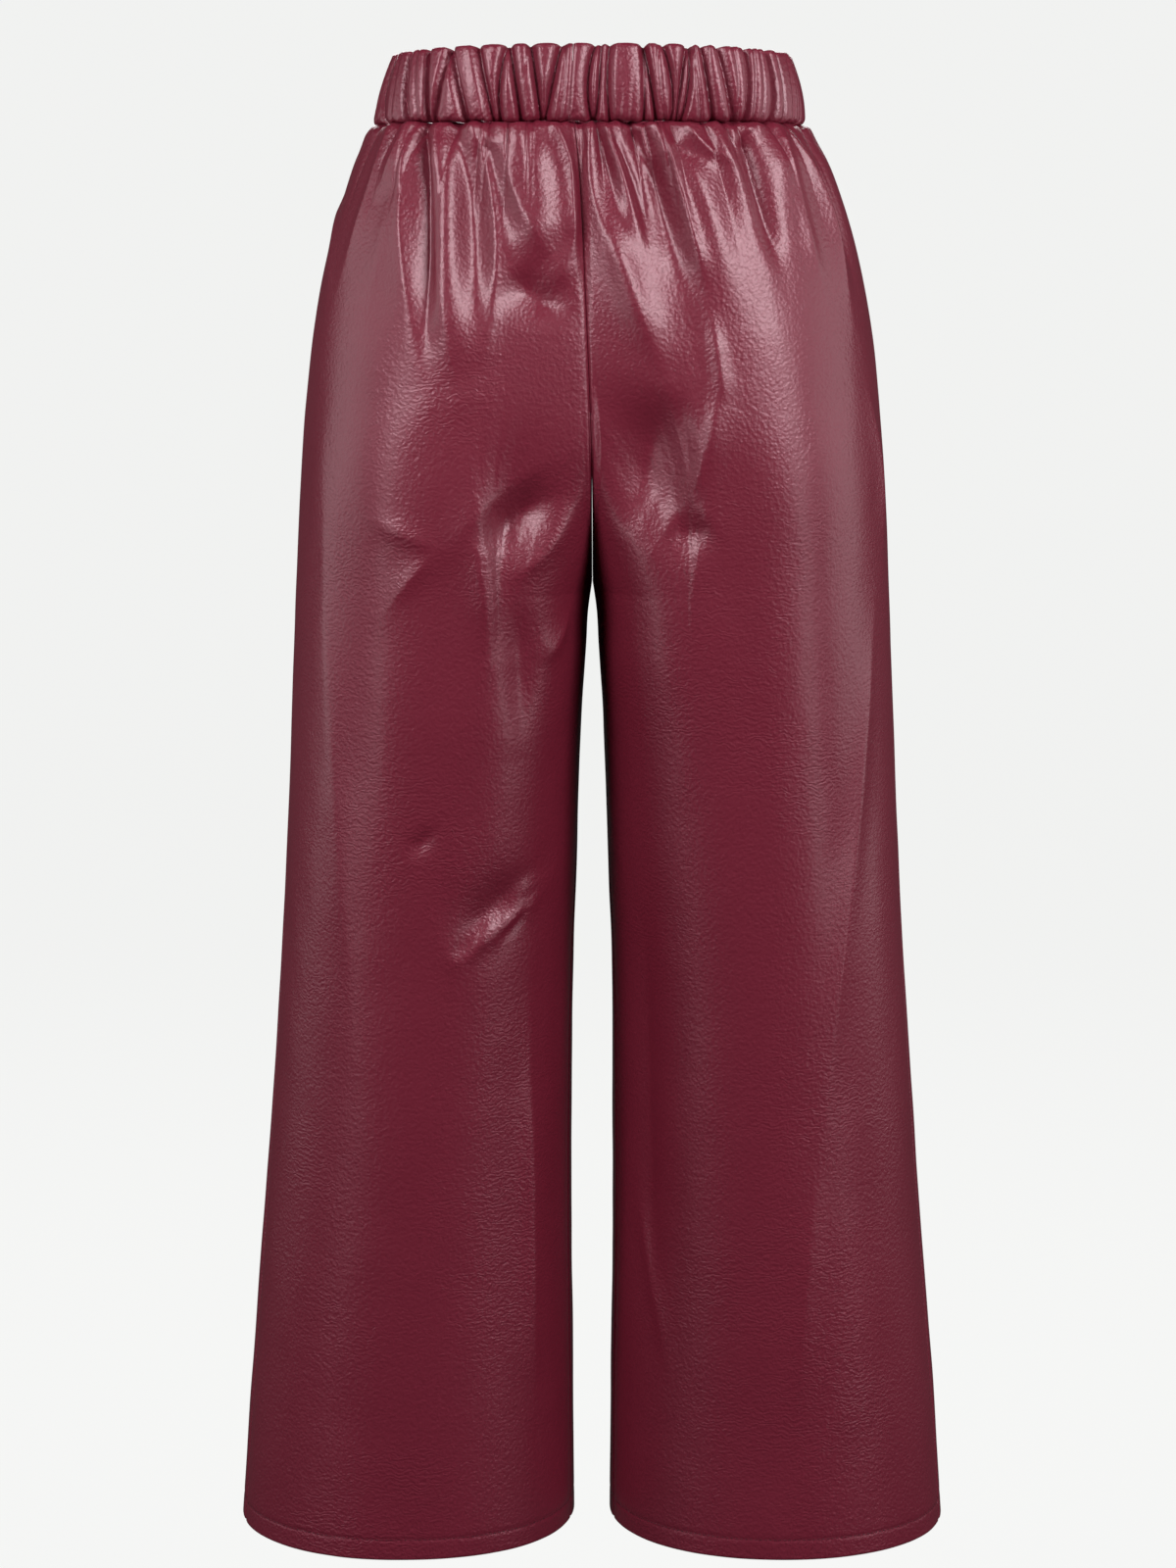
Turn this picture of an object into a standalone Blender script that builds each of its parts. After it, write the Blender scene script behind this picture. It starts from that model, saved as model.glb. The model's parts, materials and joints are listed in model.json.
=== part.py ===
"""Faux leather wide-leg trousers, filled out as if worn, with nobody in them.

Metres, +Z up. The origin is the centre of the waist ring, halfway up the waistband. The back of the
trousers faces -Y, and the wearer's left leg is on the -X side.

The pieces are those of the real garment: two back panels, two front panels and one waistband strip,
whose ends meet at the centre back. Every piece is a closed wall of cloth. A wall is laid over a
smooth body shape, given by the sections below, and raised or lowered by gathers and folds.
"""
import math
from collections import namedtuple

import bmesh
import bpy
import numpy as np

CM = 0.01
MM = 0.001

# ---------------------------------------------------------------- driving dimensions
WAISTBAND_TOP = 2.4 * CM
WAISTBAND_SEAM = -2.4 * CM
FORK = -31.8 * CM            # where the four panels meet between the legs
HEM = -96.0 * CM

CLOTH = 2.2 * MM             # wall of a panel
CASING = 3.0 * MM            # wall of the waistband, a folded strip with elastic in it
SEAM_GAP = 0.3 * MM          # clear space between two pieces at a seam

SEAT_BOTTOM = -20.5 * CM     # below these heights the centre seams curve under to the fork
FRONT_BOTTOM = -23.5 * CM

FACE = {"back": -1.0, "front": 1.0}

# ---------------------------------------------------------------- body sections, in cm
# half_width: centre to the outer side. back, front: depth at the fullest place of each face.
# full_x: how far from the centre that fullest place is. inner, outer: how square the section's
# corners are towards the centre and towards the side; 2 is an ellipse and more is squarer.
Section = namedtuple("Section", "z half_width back front full_x inner outer")
SECTIONS = [
    Section(-2.4, 13.85, 10.1, 9.9, 3.5, 2.3, 2.3),
    Section(-4.4, 15.06, 10.6, 10.3, 4.0, 2.3, 2.3),
    Section(-6.9, 16.07, 11.2, 10.7, 4.5, 2.3, 2.3),
    Section(-10.7, 17.20, 12.1, 11.2, 5.5, 2.4, 2.3),
    Section(-15.7, 18.20, 13.0, 11.7, 7.0, 2.5, 2.25),
    Section(-19.6, 18.66, 13.4, 11.75, 8.0, 2.7, 2.2),
    Section(-23.4, 19.00, 13.6, 11.8, 9.0, 3.0, 2.2),
    Section(-31.8, 19.50, 13.2, 11.6, 9.75, 3.4, 2.15),
    Section(-43.6, 20.09, 12.3, 11.2, 10.5, 2.7, 2.15),
    Section(-55.7, 20.81, 11.5, 10.9, 11.0, 2.3, 2.15),
    Section(-67.9, 21.71, 10.9, 10.6, 11.5, 2.15, 2.15),
    Section(-80.3, 22.77, 10.5, 10.3, 12.1, 2.15, 2.15),
    Section(-88.7, 23.53, 10.3, 10.2, 12.4, 2.15, 2.15),
    Section(-96.0, 24.08, 10.2, 10.2, 12.6, 2.15, 2.15),
]

# depth of the centre seams above the fork
Rise = namedtuple("Rise", "z depth")
BACK_RISE = [Rise(-2.4, 10.1), Rise(-6.9, 11.1), Rise(-10.7, 11.9), Rise(-15.7, 12.6), Rise(-20.5, 12.7)]
FRONT_RISE = [Rise(-2.4, 9.9), Rise(-6.9, 10.6), Rise(-10.7, 11.0), Rise(-15.7, 11.3), Rise(-23.5, 11.3)]

# half of the gap between the legs
LegGap = namedtuple("LegGap", "z half_gap")
LEG_GAPS = [
    LegGap(-31.8, 0.015), LegGap(-33.8, 0.29), LegGap(-35.8, 0.39), LegGap(-39.7, 0.65),
    LegGap(-43.6, 0.85), LegGap(-49.6, 1.05), LegGap(-57.7, 1.29), LegGap(-65.0, 1.38),
    LegGap(-78.0, 1.38), LegGap(-86.6, 1.28), LegGap(-96.0, 1.19),
]

# how far the side seam and the inseam sit towards the back from the widest point of a leg,
# and how far the centre back seam leans to the wearer's left
SeamLine = namedtuple("SeamLine", "z side inseam lean")
SEAM_LINES = [
    SeamLine(-2.4, 0.5, 0.0, 0.9), SeamLine(-11.8, 0.7, 0.0, 0.5), SeamLine(-22.0, 1.0, 0.0, 0.1),
    SeamLine(-31.8, 1.5, 0.0, 0.0), SeamLine(-38.0, 1.9, 0.9, 0.0), SeamLine(-50.0, 2.4, 1.9, 0.0),
    SeamLine(-96.0, 2.9, 2.3, 0.0),
]

# ---------------------------------------------------------------- waistband
# sections of the waistband ring, in cm, at its seam and at its top edge
BandRing = namedtuple("BandRing", "half_width half_depth")
BAND_AT_SEAM = BandRing(14.0, 10.2)
BAND_AT_TOP = BandRing(13.05, 9.6)
BAND_FULL_X = 3.5
BAND_CORNER = 2.3            # how square the ring's corners are; 2 is an ellipse
BAND_SIDE_DROP = 6.0 * MM    # the top edge is this much lower at the sides
BAND_PUFF = 2.2 * MM         # the casing is rounded outwards by this between its edges
BAND_JOINT = -1.2            # cm round the ring where the strip's two ends meet

# Gathers of the back half. Each row is one valley between two puffs: its place in cm along the
# ring from the centre back (+ towards the wearer's right), at the top edge and at the seam, and
# its depth in mm. A valley with a low top_share fades out before the top edge.
Gather = namedtuple("Gather", "top seam depth top_share")
BACK_GATHERS = [
    Gather(-18.6, -18.9, 3.0, 1.0), Gather(-17.0, -17.2, 2.0, 1.0), Gather(-15.4, -15.4, 4.0, 1.0),
    Gather(-14.1, -14.0, 1.5, 1.0), Gather(-12.9, -12.4, 4.0, 1.0), Gather(-11.9, -11.4, 2.2, 1.0),
    Gather(-11.0, -10.7, 5.0, 1.0), Gather(-9.5, -10.0, 3.0, 0.8), Gather(-9.0, -7.7, 4.0, 1.0),
    Gather(-7.2, -6.1, 4.2, 1.0), Gather(-5.5, -5.4, 3.0, 1.0), Gather(-4.9, -4.2, 4.0, 1.0),
    Gather(-3.8, -3.1, 4.0, 1.0), Gather(-2.2, -2.6, 4.0, 1.0), Gather(-1.7, -1.9, 1.5, 1.0),
    Gather(0.2, 0.1, 4.0, 1.0), Gather(0.7, 0.6, 2.5, 1.0), Gather(1.2, 1.3, 3.0, 1.0),
    Gather(1.9, 1.9, 1.4, 0.1), Gather(2.5, 2.6, 1.4, 0.1), Gather(3.0, 3.4, 2.5, 1.0),
    Gather(3.5, 4.1, 5.0, 1.0), Gather(4.1, 4.6, 2.0, 0.9), Gather(4.6, 5.1, 3.0, 1.0),
    Gather(5.7, 5.5, 4.0, 1.0), Gather(6.1, 6.0, 4.0, 0.9), Gather(6.5, 7.0, 2.0, 0.5),
    Gather(7.0, 7.9, 3.2, 1.0), Gather(8.0, 9.0, 3.0, 0.7), Gather(9.0, 9.5, 1.5, 1.0),
    Gather(10.1, 10.1, 2.6, 1.0), Gather(10.7, 10.7, 2.0, 1.0), Gather(11.3, 11.3, 2.0, 1.0),
    Gather(12.1, 12.4, 3.0, 1.0), Gather(13.3, 13.8, 3.2, 1.0), Gather(14.8, 15.0, 2.2, 1.0),
    Gather(15.7, 15.8, 2.2, 1.0), Gather(17.1, 17.0, 4.0, 1.0), Gather(18.4, 18.7, 2.0, 1.0),
]
# The front half repeats a run of puff widths from one side to the other: width in cm,
# how far the valley leans in cm over the band's height, and its depth in mm.
GATHER_VALLEY = 0.75         # a valley is this share of its depth below the smooth ring,
GATHER_CROWN = 0.4           # and a puff's crown this share above it
STEEPEST = 0.34              # a valley is never deeper than this share of its puffs' width
Puff = namedtuple("Puff", "width lean depth")
FRONT_PUFFS = [
    Puff(1.3, 0.3, 3.6), Puff(0.7, 0.1, 2.2), Puff(1.1, -0.3, 4.0), Puff(1.7, 0.4, 3.2),
    Puff(0.8, 0.0, 2.4), Puff(0.6, -0.1, 4.4), Puff(1.4, 0.3, 3.0), Puff(1.0, -0.2, 2.0),
    Puff(0.7, 0.1, 3.8), Puff(1.9, -0.4, 4.2), Puff(0.9, 0.2, 2.6),
]

# ---------------------------------------------------------------- folds in the panels
# One row for each fold: x and z in cm at its top, middle and lower end, as seen from that face
# (x is the wearer's right on both faces), then half its width and its height in mm. A negative
# height is a trough.
Fold = namedtuple("Fold", "x1 z1 x2 z2 x3 z3 width height")
BACK_FOLDS = [
    # left leg, gathers running down from the waistband
    Fold(-13.6, -2.8, -16.0, -6.6, -16.9, -14.9, 8, 3.0),
    Fold(-12.4, -2.6, -14.1, -7.2, -16.5, -14.1, 7, 4.0),
    Fold(-10.9, -2.8, -11.7, -9.4, -10.5, -18.0, 8, 6.0),
    Fold(-10.4, -2.8, -10.2, -9.4, -10.5, -17.0, 6, -6.0),
    Fold(-9.2, -3.2, -8.9, -10.0, -8.0, -18.6, 12, 6.5),
    Fold(-8.5, -2.9, -7.4, -9.4, -7.0, -17.1, 8, -6.0),
    Fold(-6.4, -3.0, -5.9, -10.0, -6.9, -19.1, 8, 4.0),
    Fold(-3.9, -3.4, -3.2, -7.9, -2.2, -10.6, 13, 8.0),
    Fold(-5.6, -11.6, -3.6, -13.0, -1.6, -13.6, 10, -4.0),
    # right leg
    Fold(0.9, -4.0, 2.2, -10.5, 4.6, -17.4, 14, 6.5),
    Fold(1.6, -3.6, 2.8, -7.1, 3.6, -11.1, 5, -3.0),
    Fold(2.8, -3.2, 4.2, -7.3, 6.0, -14.8, 9, -6.0),
    Fold(4.5, -2.7, 6.0, -8.7, 7.1, -13.5, 7, 6.0),
    Fold(7.1, -13.0, 7.8, -17.1, 8.2, -20.0, 8, 3.0),
    Fold(5.4, -3.4, 6.6, -4.3, 8.0, -4.9, 6, -4.0),
    Fold(5.8, -4.2, 7.6, -8.8, 9.0, -15.5, 12, 5.0),
    Fold(9.6, -3.8, 10.6, -7.8, 11.9, -12.1, 7, -4.5),
    Fold(10.6, -2.9, 11.8, -5.6, 12.1, -11.0, 10, 4.0),
    Fold(12.0, -2.9, 14.7, -7.7, 16.4, -14.9, 7, 5.0),
    Fold(13.5, -2.9, 15.3, -7.0, 16.8, -12.8, 7, -4.0),
    # creases under the seat
    Fold(7.2, -18.9, 6.6, -23.9, 4.2, -28.4, 9, 6.5),
    Fold(4.0, -19.0, 3.4, -23.0, 2.6, -27.0, 22, -8.0),
    Fold(8.9, -27.2, 7.3, -28.6, 5.0, -29.6, 8, -4.0),
    Fold(-8.0, -28.2, -5.1, -25.9, -2.2, -25.6, 12, -8.5),
    Fold(-7.8, -28.0, -6.8, -30.0, -5.6, -35.0, 9, 4.5),
    Fold(-12.6, -27.9, -11.2, -28.7, -9.8, -28.9, 7, -4.0),
    Fold(-4.8, -30.4, -4.2, -35.0, -4.8, -40.0, 14, -6.5),
    # knees and shins
    Fold(-10.2, -56.2, -5.9, -53.2, -2.4, -50.4, 9, -4.5),
    Fold(-9.6, -53.6, -6.4, -51.6, -3.4, -48.9, 11, 4.0),
    Fold(-4.3, -55.0, -4.5, -72.0, -4.0, -88.0, 12, 4.5),
    Fold(-2.6, -60.0, -2.6, -74.0, -2.6, -90.0, 12, -4.0),
    Fold(3.4, -46.0, 3.2, -66.0, 4.4, -88.0, 16, -4.0),
    Fold(6.6, -40.0, 6.4, -62.0, 7.4, -86.0, 16, 3.0),
]
FRONT_FOLDS = [
    # gathers running down from the waistband
    Fold(12.9, -2.8, 15.2, -7.0, 16.7, -14.0, 8, 4.0),
    Fold(11.2, -2.8, 12.2, -9.6, 12.8, -18.0, 8, 5.0),
    Fold(10.2, -2.8, 10.7, -8.4, 11.0, -15.0, 7, -5.0),
    Fold(8.4, -2.8, 8.9, -10.0, 9.2, -19.5, 12, 6.5),
    Fold(7.0, -2.8, 7.0, -8.6, 7.4, -15.6, 8, -5.0),
    Fold(5.2, -2.8, 5.3, -8.6, 4.6, -15.6, 9, 5.0),
    Fold(3.6, -2.8, 3.6, -7.0, 3.0, -11.8, 7, -4.5),
    Fold(2.2, -3.0, 2.0, -6.6, 1.6, -9.6, 9, 4.5),
    Fold(-1.6, -3.0, -1.8, -6.0, -1.4, -8.8, 8, 4.0),
    Fold(-3.0, -2.8, -3.6, -8.2, -4.2, -14.0, 9, -5.0),
    Fold(-4.6, -2.8, -5.4, -9.2, -6.6, -17.4, 11, 6.5),
    Fold(-6.6, -2.8, -7.6, -8.8, -8.8, -15.2, 8, -5.0),
    Fold(-8.3, -2.8, -9.4, -9.6, -10.4, -18.6, 10, 6.0),
    Fold(-10.3, -2.8, -11.6, -7.6, -12.8, -13.4, 7, -4.5),
    Fold(-12.0, -2.8, -13.9, -8.2, -15.4, -15.8, 8, 4.5),
    # creases in the lap, either side of the fork
    Fold(2.4, -23.2, 5.0, -25.2, 8.2, -25.6, 11, -5.0),
    Fold(2.2, -26.0, 4.4, -28.0, 7.0, -29.6, 10, 4.5),
    Fold(-2.2, -24.6, -4.8, -26.4, -7.6, -27.6, 11, -5.0),
    Fold(-2.4, -27.4, -4.4, -29.8, -6.6, -32.4, 10, 4.5),
    # knees and shins
    Fold(4.4, -52.0, 7.0, -53.6, 10.6, -54.0, 9, -4.0),
    Fold(-3.8, -49.6, -6.6, -51.6, -10.4, -53.0, 9, -4.0),
    Fold(5.2, -58.0, 5.0, -73.0, 5.6, -88.0, 14, 4.0),
    Fold(-6.0, -56.0, -5.6, -72.0, -5.4, -88.0, 14, 4.0),
    Fold(-3.2, -60.0, -3.0, -74.0, -3.2, -90.0, 12, -3.0),
]
FOLDS = {"back": BACK_FOLDS, "front": FRONT_FOLDS}

FOLD_RAMP = 2.2 * CM         # folds grow from the waistband seam over this height
SEAM_CALM = 1.4 * CM         # folds die out this close to a seam
CREST = 2.0 * MM             # how rounded the crest of a fold is

# ---------------------------------------------------------------- mesh rows
# rows just under the waistband follow its gathers; lower ones are evenly spaced
GATHERED_ROWS = [-3.1, -4.1, -5.3]
GATHER_FADE = [0.45, 1.0, 0.75, 0.35]
EVEN_ROWS = [-7.0, -9.0, -11.5, -14.3, -17.3, -20.5]
FORK_STEPS = 5
LEG_ROWS = [-34.2, -38.0, -43.0, -49.0, -56.0, -64.0, -73.0, -82.0, -90.0]
EVEN_ABOVE = -13.0 * CM      # above this height the columns are evenly spaced along a section
COLUMNS_ABOVE_FORK = 30
COLUMNS_ON_LEG = 20
QUARTER_STEPS = 80           # points that a quarter of a section is measured with


def smooth_through(rows, column, z, unit=CM):
    """Value of a table's column at height z, on a smooth curve through its rows."""
    heights = np.array([row.z for row in rows]) * CM
    values = np.array([getattr(row, column) for row in rows]) * unit
    slopes = np.gradient(values, heights)
    i = int(np.clip(np.searchsorted(-heights, -z) - 1, 0, len(rows) - 2))
    step = heights[i + 1] - heights[i]
    t = min(max((z - heights[i]) / step, 0.0), 1.0)
    start = (1 + 2 * t) * (1 - t) ** 2 * values[i] + t * (1 - t) ** 2 * step * slopes[i]
    end = t * t * (3 - 2 * t) * values[i + 1] + t * t * (t - 1) * step * slopes[i + 1]
    return start + end


def seam_depth(face, z):
    """Depth of the centre seam of one face: down the face, then round to the fork."""
    rows, bottom = (BACK_RISE, SEAT_BOTTOM) if face == "back" else (FRONT_RISE, FRONT_BOTTOM)
    if z >= bottom:
        return smooth_through(rows, "depth", z)
    if z <= FORK:
        return 0.0
    lowest = smooth_through(rows, "depth", bottom)
    return lowest * math.sqrt(max(0.0, 1 - ((bottom - z) / (bottom - FORK)) ** 2))


def corner(squareness):
    """A rounded corner of a section: its run and rise, each from 0 to 1."""
    turn = np.linspace(0, math.pi / 2, QUARTER_STEPS)
    run = 1 - np.clip(np.cos(turn), 0, 1) ** (2 / squareness)
    return run, np.sin(turn) ** (2 / squareness)


def quarter(centre, full_x, half_width, seam, depth, inner, outer):
    """Inner and outer quarter of a face, from the centre to the widest point, as x and depth.
    Towards the centre it dips to the seam's depth, which is 0 on a leg."""
    run, rise = corner(inner)
    dip = np.sqrt(seam ** 2 + (depth ** 2 - seam ** 2) * rise ** 2)
    inside = np.column_stack([centre + (full_x - centre) * run, dip])
    run, rise = corner(outer)
    outside = np.column_stack([full_x + (half_width - full_x) * rise, depth * (1 - run)])
    return inside, outside[1:]


class Half:
    """One half of the trousers' section at a height: a line from the centre back round the side to
    the centre front, and on a leg round past the inseam. It is measured along its length."""

    def __init__(self, side, z):
        self.side = side
        self.z = z
        full_x = smooth_through(SECTIONS, "full_x", z)
        half_width = smooth_through(SECTIONS, "half_width", z)
        on_leg = z <= FORK
        centre = smooth_through(LEG_GAPS, "half_gap", z) if on_leg else SEAM_GAP / 2
        corners = [smooth_through(SECTIONS, column, z, unit=1) for column in ("inner", "outer")]
        back, front = (quarter(centre, full_x, half_width, seam_depth(face, z),
                               smooth_through(SECTIONS, face, z), *corners) for face in ("back", "front"))
        back = [part * (1, -1) for part in back]
        pieces = [back[0], back[1], front[1][-2::-1], front[0][::-1]]
        if on_leg:
            pieces.append(back[0][1:])
        line = np.concatenate(pieces)
        lean = smooth_through(SEAM_LINES, "lean", z)
        towards_centre = np.clip(1 - line[:, 0] / full_x, 0, 1) * (line[:, 1] < 0)
        line[:, 0] = line[:, 0] * side - lean * towards_centre
        self.line = line
        steps = np.hypot(*np.diff(line, axis=0).T)
        self.along = np.concatenate([[0.0], np.cumsum(steps)])
        last = QUARTER_STEPS - 1
        self.full = {"back": self.along[last], "front": self.along[3 * last]}
        self.ends = {"back": (0, 2 * last), "front": (4 * last, 2 * last)}
        self.side_seam = self.at_depth(2 * last, last, smooth_through(SEAM_LINES, "side", z))
        inseam = smooth_through(SEAM_LINES, "inseam", z) if on_leg else 0.0
        wrap = self.at_depth(0, last, inseam)
        self.range = {"back": (wrap, self.side_seam),
                      "front": (self.side_seam, self.along[4 * last] + wrap)}

    def at_depth(self, start, stop, depth):
        """Length along the line where the back is this deep, between two of its points."""
        step = 1 if stop > start else -1
        span = slice(start, stop + step, step)
        return float(np.interp(depth, -self.line[span, 1], self.along[span]))

    def point(self, along):
        return np.column_stack([np.interp(along, self.along, self.line[:, 0]),
                                np.interp(along, self.along, self.line[:, 1])])

    def spread(self, face, count):
        """Places along a panel for its columns. High up they are evenly spaced. Near the fork and
        on the legs they are spaced by the turn of the section's corners, so that the columns run
        straight down while the centre seam dips away."""
        start, stop = panel_span(self, face)
        even = np.linspace(start, stop, count + 1)
        numbers = np.arange(len(self.along))
        first, last = np.interp((start, stop), self.along, numbers)
        turned = np.interp(np.linspace(first, last, count + 1), numbers, self.along)
        turned[[0, -1]] = start, stop
        share = min(max((EVEN_ABOVE - self.z) / (EVEN_ABOVE - SEAT_BOTTOM), 0.0), 1.0)
        return even + (turned - even) * share

    def across(self, face, along):
        """Distance outwards from the fullest place of a face."""
        return (along - self.full[face]) * -FACE[face]

    def point_across(self, face, across):
        """The place at such a distance."""
        return self.point(self.full[face] - FACE[face] * across)

    def across_at_x(self, face, x):
        """The same distance for a point that is seen at x."""
        start, stop = self.ends[face]
        step = 1 if stop > start else -1
        span = slice(start, stop + step, step)
        along = np.interp(x * self.side, self.line[span, 0] * self.side, self.along[span])
        return self.across(face, along)


def panel_span(half, face):
    """Where a panel starts and ends along a section, clear of its neighbours."""
    start, stop = half.range[face]
    at_centre_back = face == "back" and half.z > FORK
    at_centre_front = face == "front" and half.z > FORK
    return (start + (0 if at_centre_back else SEAM_GAP / 2),
            stop - (0 if at_centre_front else SEAM_GAP / 2))


def outward(side, face, z, along):
    """Outward directions of the smooth body at places along a panel."""
    reach = 0.5 * MM
    here = Half(side, z)
    sideways = here.point(along + reach) - here.point(along - reach)
    sideways = np.column_stack([sideways, np.zeros(len(along))])
    across = here.across(face, along)
    above, below = (Half(side, z + step).point_across(face, across) for step in (reach, -reach))
    upwards = np.column_stack([above - below, np.full(len(along), 2 * reach)])
    normal = np.cross(sideways, upwards) * side
    # both panels at a centre seam share a direction that lies in the seam's own plane
    if z >= FORK:
        at_seam = 0 if face == "back" else -1
        rise = seam_depth(face, z + reach) - seam_depth(face, z - reach)
        normal[at_seam] = (0, 2 * reach * FACE[face], -rise)
    # edges at the waistband and the hem are level
    if z > WAISTBAND_SEAM - MM or z <= HEM:
        normal[:, 2] = 0
    return normal / np.linalg.norm(normal, axis=1)[:, None]


def fold_path(side, face, fold):
    """A fold's course over the cloth: distance across, height and share of its length."""
    places = []
    for t in np.linspace(0, 1, 9):
        weights = ((1 - t) * (1 - 2 * t), 4 * t * (1 - t), t * (2 * t - 1))
        x = sum(w * v for w, v in zip(weights, (fold.x1, fold.x2, fold.x3))) * CM
        z = sum(w * v for w, v in zip(weights, (fold.z1, fold.z2, fold.z3))) * CM
        places.append((Half(side, z).across_at_x(face, x), z, t))
    return np.array(places)


def fold_height(path, fold, across, z):
    """Height that one fold adds at places given by distance across and height."""
    nearest = np.full(across.shape, 1e9)
    share = np.zeros(across.shape)
    for a, b in zip(path[:-1], path[1:]):
        run = b[:2] - a[:2]
        t = ((across - a[0]) * run[0] + (z - a[1]) * run[1]) / (run @ run)
        t = np.clip(t, 0, 1)
        gap = np.hypot(across - a[0] - t * run[0], z - a[1] - t * run[1])
        closer = gap < nearest
        nearest = np.where(closer, gap, nearest)
        share = np.where(closer, a[2] + t * (b[2] - a[2]), share)
    width = fold.width * MM
    profile = np.exp(-(np.sqrt(nearest ** 2 + CREST ** 2) - CREST) / width)
    low_end = np.clip((1 - share) / 0.35, 0, 1)
    return fold.height * MM * profile * (0.35 + 0.65 * low_end * (2 - low_end))


def panel_relief(face, half, along, paths):
    """Height of the cloth over the smooth body at places along a section."""
    across = half.across(face, along)
    height = np.zeros(len(along))
    for fold, path in paths:
        height += fold_height(path, fold, across, half.z)
    start, stop = panel_span(half, face)
    calm = np.clip((along - start) / SEAM_CALM, 0, 1) * np.clip((stop - along) / SEAM_CALM, 0, 1)
    ramp = min(1.0, max(0.0, (WAISTBAND_SEAM - half.z) / FOLD_RAMP))
    return height * calm * (0.2 + 0.8 * ramp)


# ---------------------------------------------------------------- gathers
def ring_section(share):
    """Section of the waistband ring at a share of its height, with its length measured."""
    ring = [a + (b - a) * share for a, b in zip(BAND_AT_SEAM, BAND_AT_TOP)]
    inner, outer = quarter(0, BAND_FULL_X * CM, ring[0] * CM, ring[1] * CM, ring[1] * CM,
                           BAND_CORNER, BAND_CORNER)
    right_back = np.concatenate([inner, outer]) * (1, -1)
    right_front = (right_back * (1, -1))[-2::-1]
    left = (np.concatenate([right_back, right_front]) * (-1, 1))[-2:0:-1]
    line = np.concatenate([right_back, right_front, left, right_back[:1]])
    steps = np.hypot(*np.diff(line, axis=0).T)
    return line, np.concatenate([[0.0], np.cumsum(steps)])


def ring_point(line, along, place):
    """The point at a length round the ring."""
    place %= along[-1]
    return np.array([np.interp(place, along, line[:, 0]), np.interp(place, along, line[:, 1])])


def all_gathers():
    """Valleys all round the ring, in order from the waistband's joint, as shares of its length."""
    length = {edge: ring_section(share)[1][-1] / CM for edge, share in (("seam", 0), ("top", 1))}
    valleys = []
    for gather in BACK_GATHERS:
        valleys.append((gather.top / length["top"] % 1, gather.seam / length["seam"] % 1,
                        gather.depth, gather.top_share))
    # the front starts and ends a quarter of the way round, at the side seams
    place = length["seam"] / 4 + 0.6
    count = 0
    while place < 0.75 * length["seam"] - 0.5:
        puff = FRONT_PUFFS[count % len(FRONT_PUFFS)]
        valleys.append(((place + puff.lean) / length["seam"], place / length["seam"], puff.depth, 1.0))
        place += puff.width
        count += 1
    joint = BAND_JOINT / length["seam"] % 1
    return sorted(valleys, key=lambda valley: (valley[1] - joint) % 1), joint


def gather_columns(valleys):
    """Columns of the gathered cloth: one in each valley and two on each puff. A column is its place
    at the top edge and at the seam, its height in mm and how much of it reaches the top edge."""
    columns = []
    length = ring_section(0.5)[1][-1] / MM
    before = (valleys[0][1] - valleys[-2][1]) % 1 * length
    for here, after in zip(valleys, valleys[1:]):
        spacing = [(after[edge] - here[edge]) % 1 for edge in (0, 1)]
        puff = spacing[1] * length
        # narrow puffs are shallow, so that the wall doesn't fold over itself
        valley = -min(here[2] * GATHER_VALLEY, STEEPEST * min(before, puff))
        crown = min((here[2] + after[2]) / 2 * GATHER_CROWN, STEEPEST / 2 * puff)
        before = puff
        for step in (0.0, 0.32, 0.68):
            columns.append((here[0] + spacing[0] * step, here[1] + spacing[1] * step,
                            valley if step == 0 else crown, here[3] if step == 0 else 1.0))
    return columns


def make_band():
    """Closed walls of the waistband strip, from its joint all the way round."""
    valleys, joint = all_gathers()
    seam_length = ring_section(0)[1][-1]
    clear = SEAM_GAP / 2 / seam_length
    start = (joint + clear, joint + clear, 0.0, 1.0)
    stop = (joint - clear, joint - clear, 0.0, 1.0)
    columns = gather_columns([start] + valleys + [stop]) + [stop]
    # each row: share of the height, share of the puff, share of a gather's depth, depth in the wall
    profile = [
        (0.00, 0.00, 0.30, 0.0), (0.14, 0.75, 0.85, 0.0), (0.50, 1.00, 1.00, 0.0),
        (0.88, 0.75, 0.90, 0.0), (1.00, 0.20, 0.60, 0.5), (0.88, 0.75, 0.90, 1.0),
        (0.50, 1.00, 1.00, 1.0), (0.00, 0.00, 0.30, 1.0),
    ]
    bottom = WAISTBAND_SEAM + SEAM_GAP / 2
    height = WAISTBAND_TOP - bottom
    rings = []
    for share, puff, gather, inside in profile:
        line, along = ring_section(share)
        ring = []
        for top, seam, depth, top_share in columns:
            place = (seam + ((top - seam + 0.5) % 1 - 0.5) * share) % 1 * along[-1]
            spot, ahead, behind = (ring_point(line, along, place + step) for step in (0, MM, -MM))
            run = ahead - behind
            out = np.array([run[1], -run[0]]) / np.hypot(*run)
            fade = 1 + (top_share - 1) * share
            lift = puff * BAND_PUFF + gather * fade * depth * MM - inside * CASING
            drop = BAND_SIDE_DROP * (spot[0] / (BAND_AT_TOP.half_width * CM)) ** 2 * share
            ripple = 0.8 * MM * fade * depth if share == 1.0 and depth > 0 else 0.0
            ring.append((*(spot + out * lift), bottom + height * share - drop + ripple))
        rings.append(ring)
    mesh = bmesh.new()
    grid = [[mesh.verts.new(point) for point in ring] for ring in rings]
    for row, after in zip(grid, grid[1:] + grid[:1]):
        for i in range(len(row) - 1):
            mesh.faces.new((row[i], row[i + 1], after[i + 1], after[i]))
    for end in (0, -1):
        mesh.faces.new([row[end] for row in grid])
    return mesh


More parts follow.
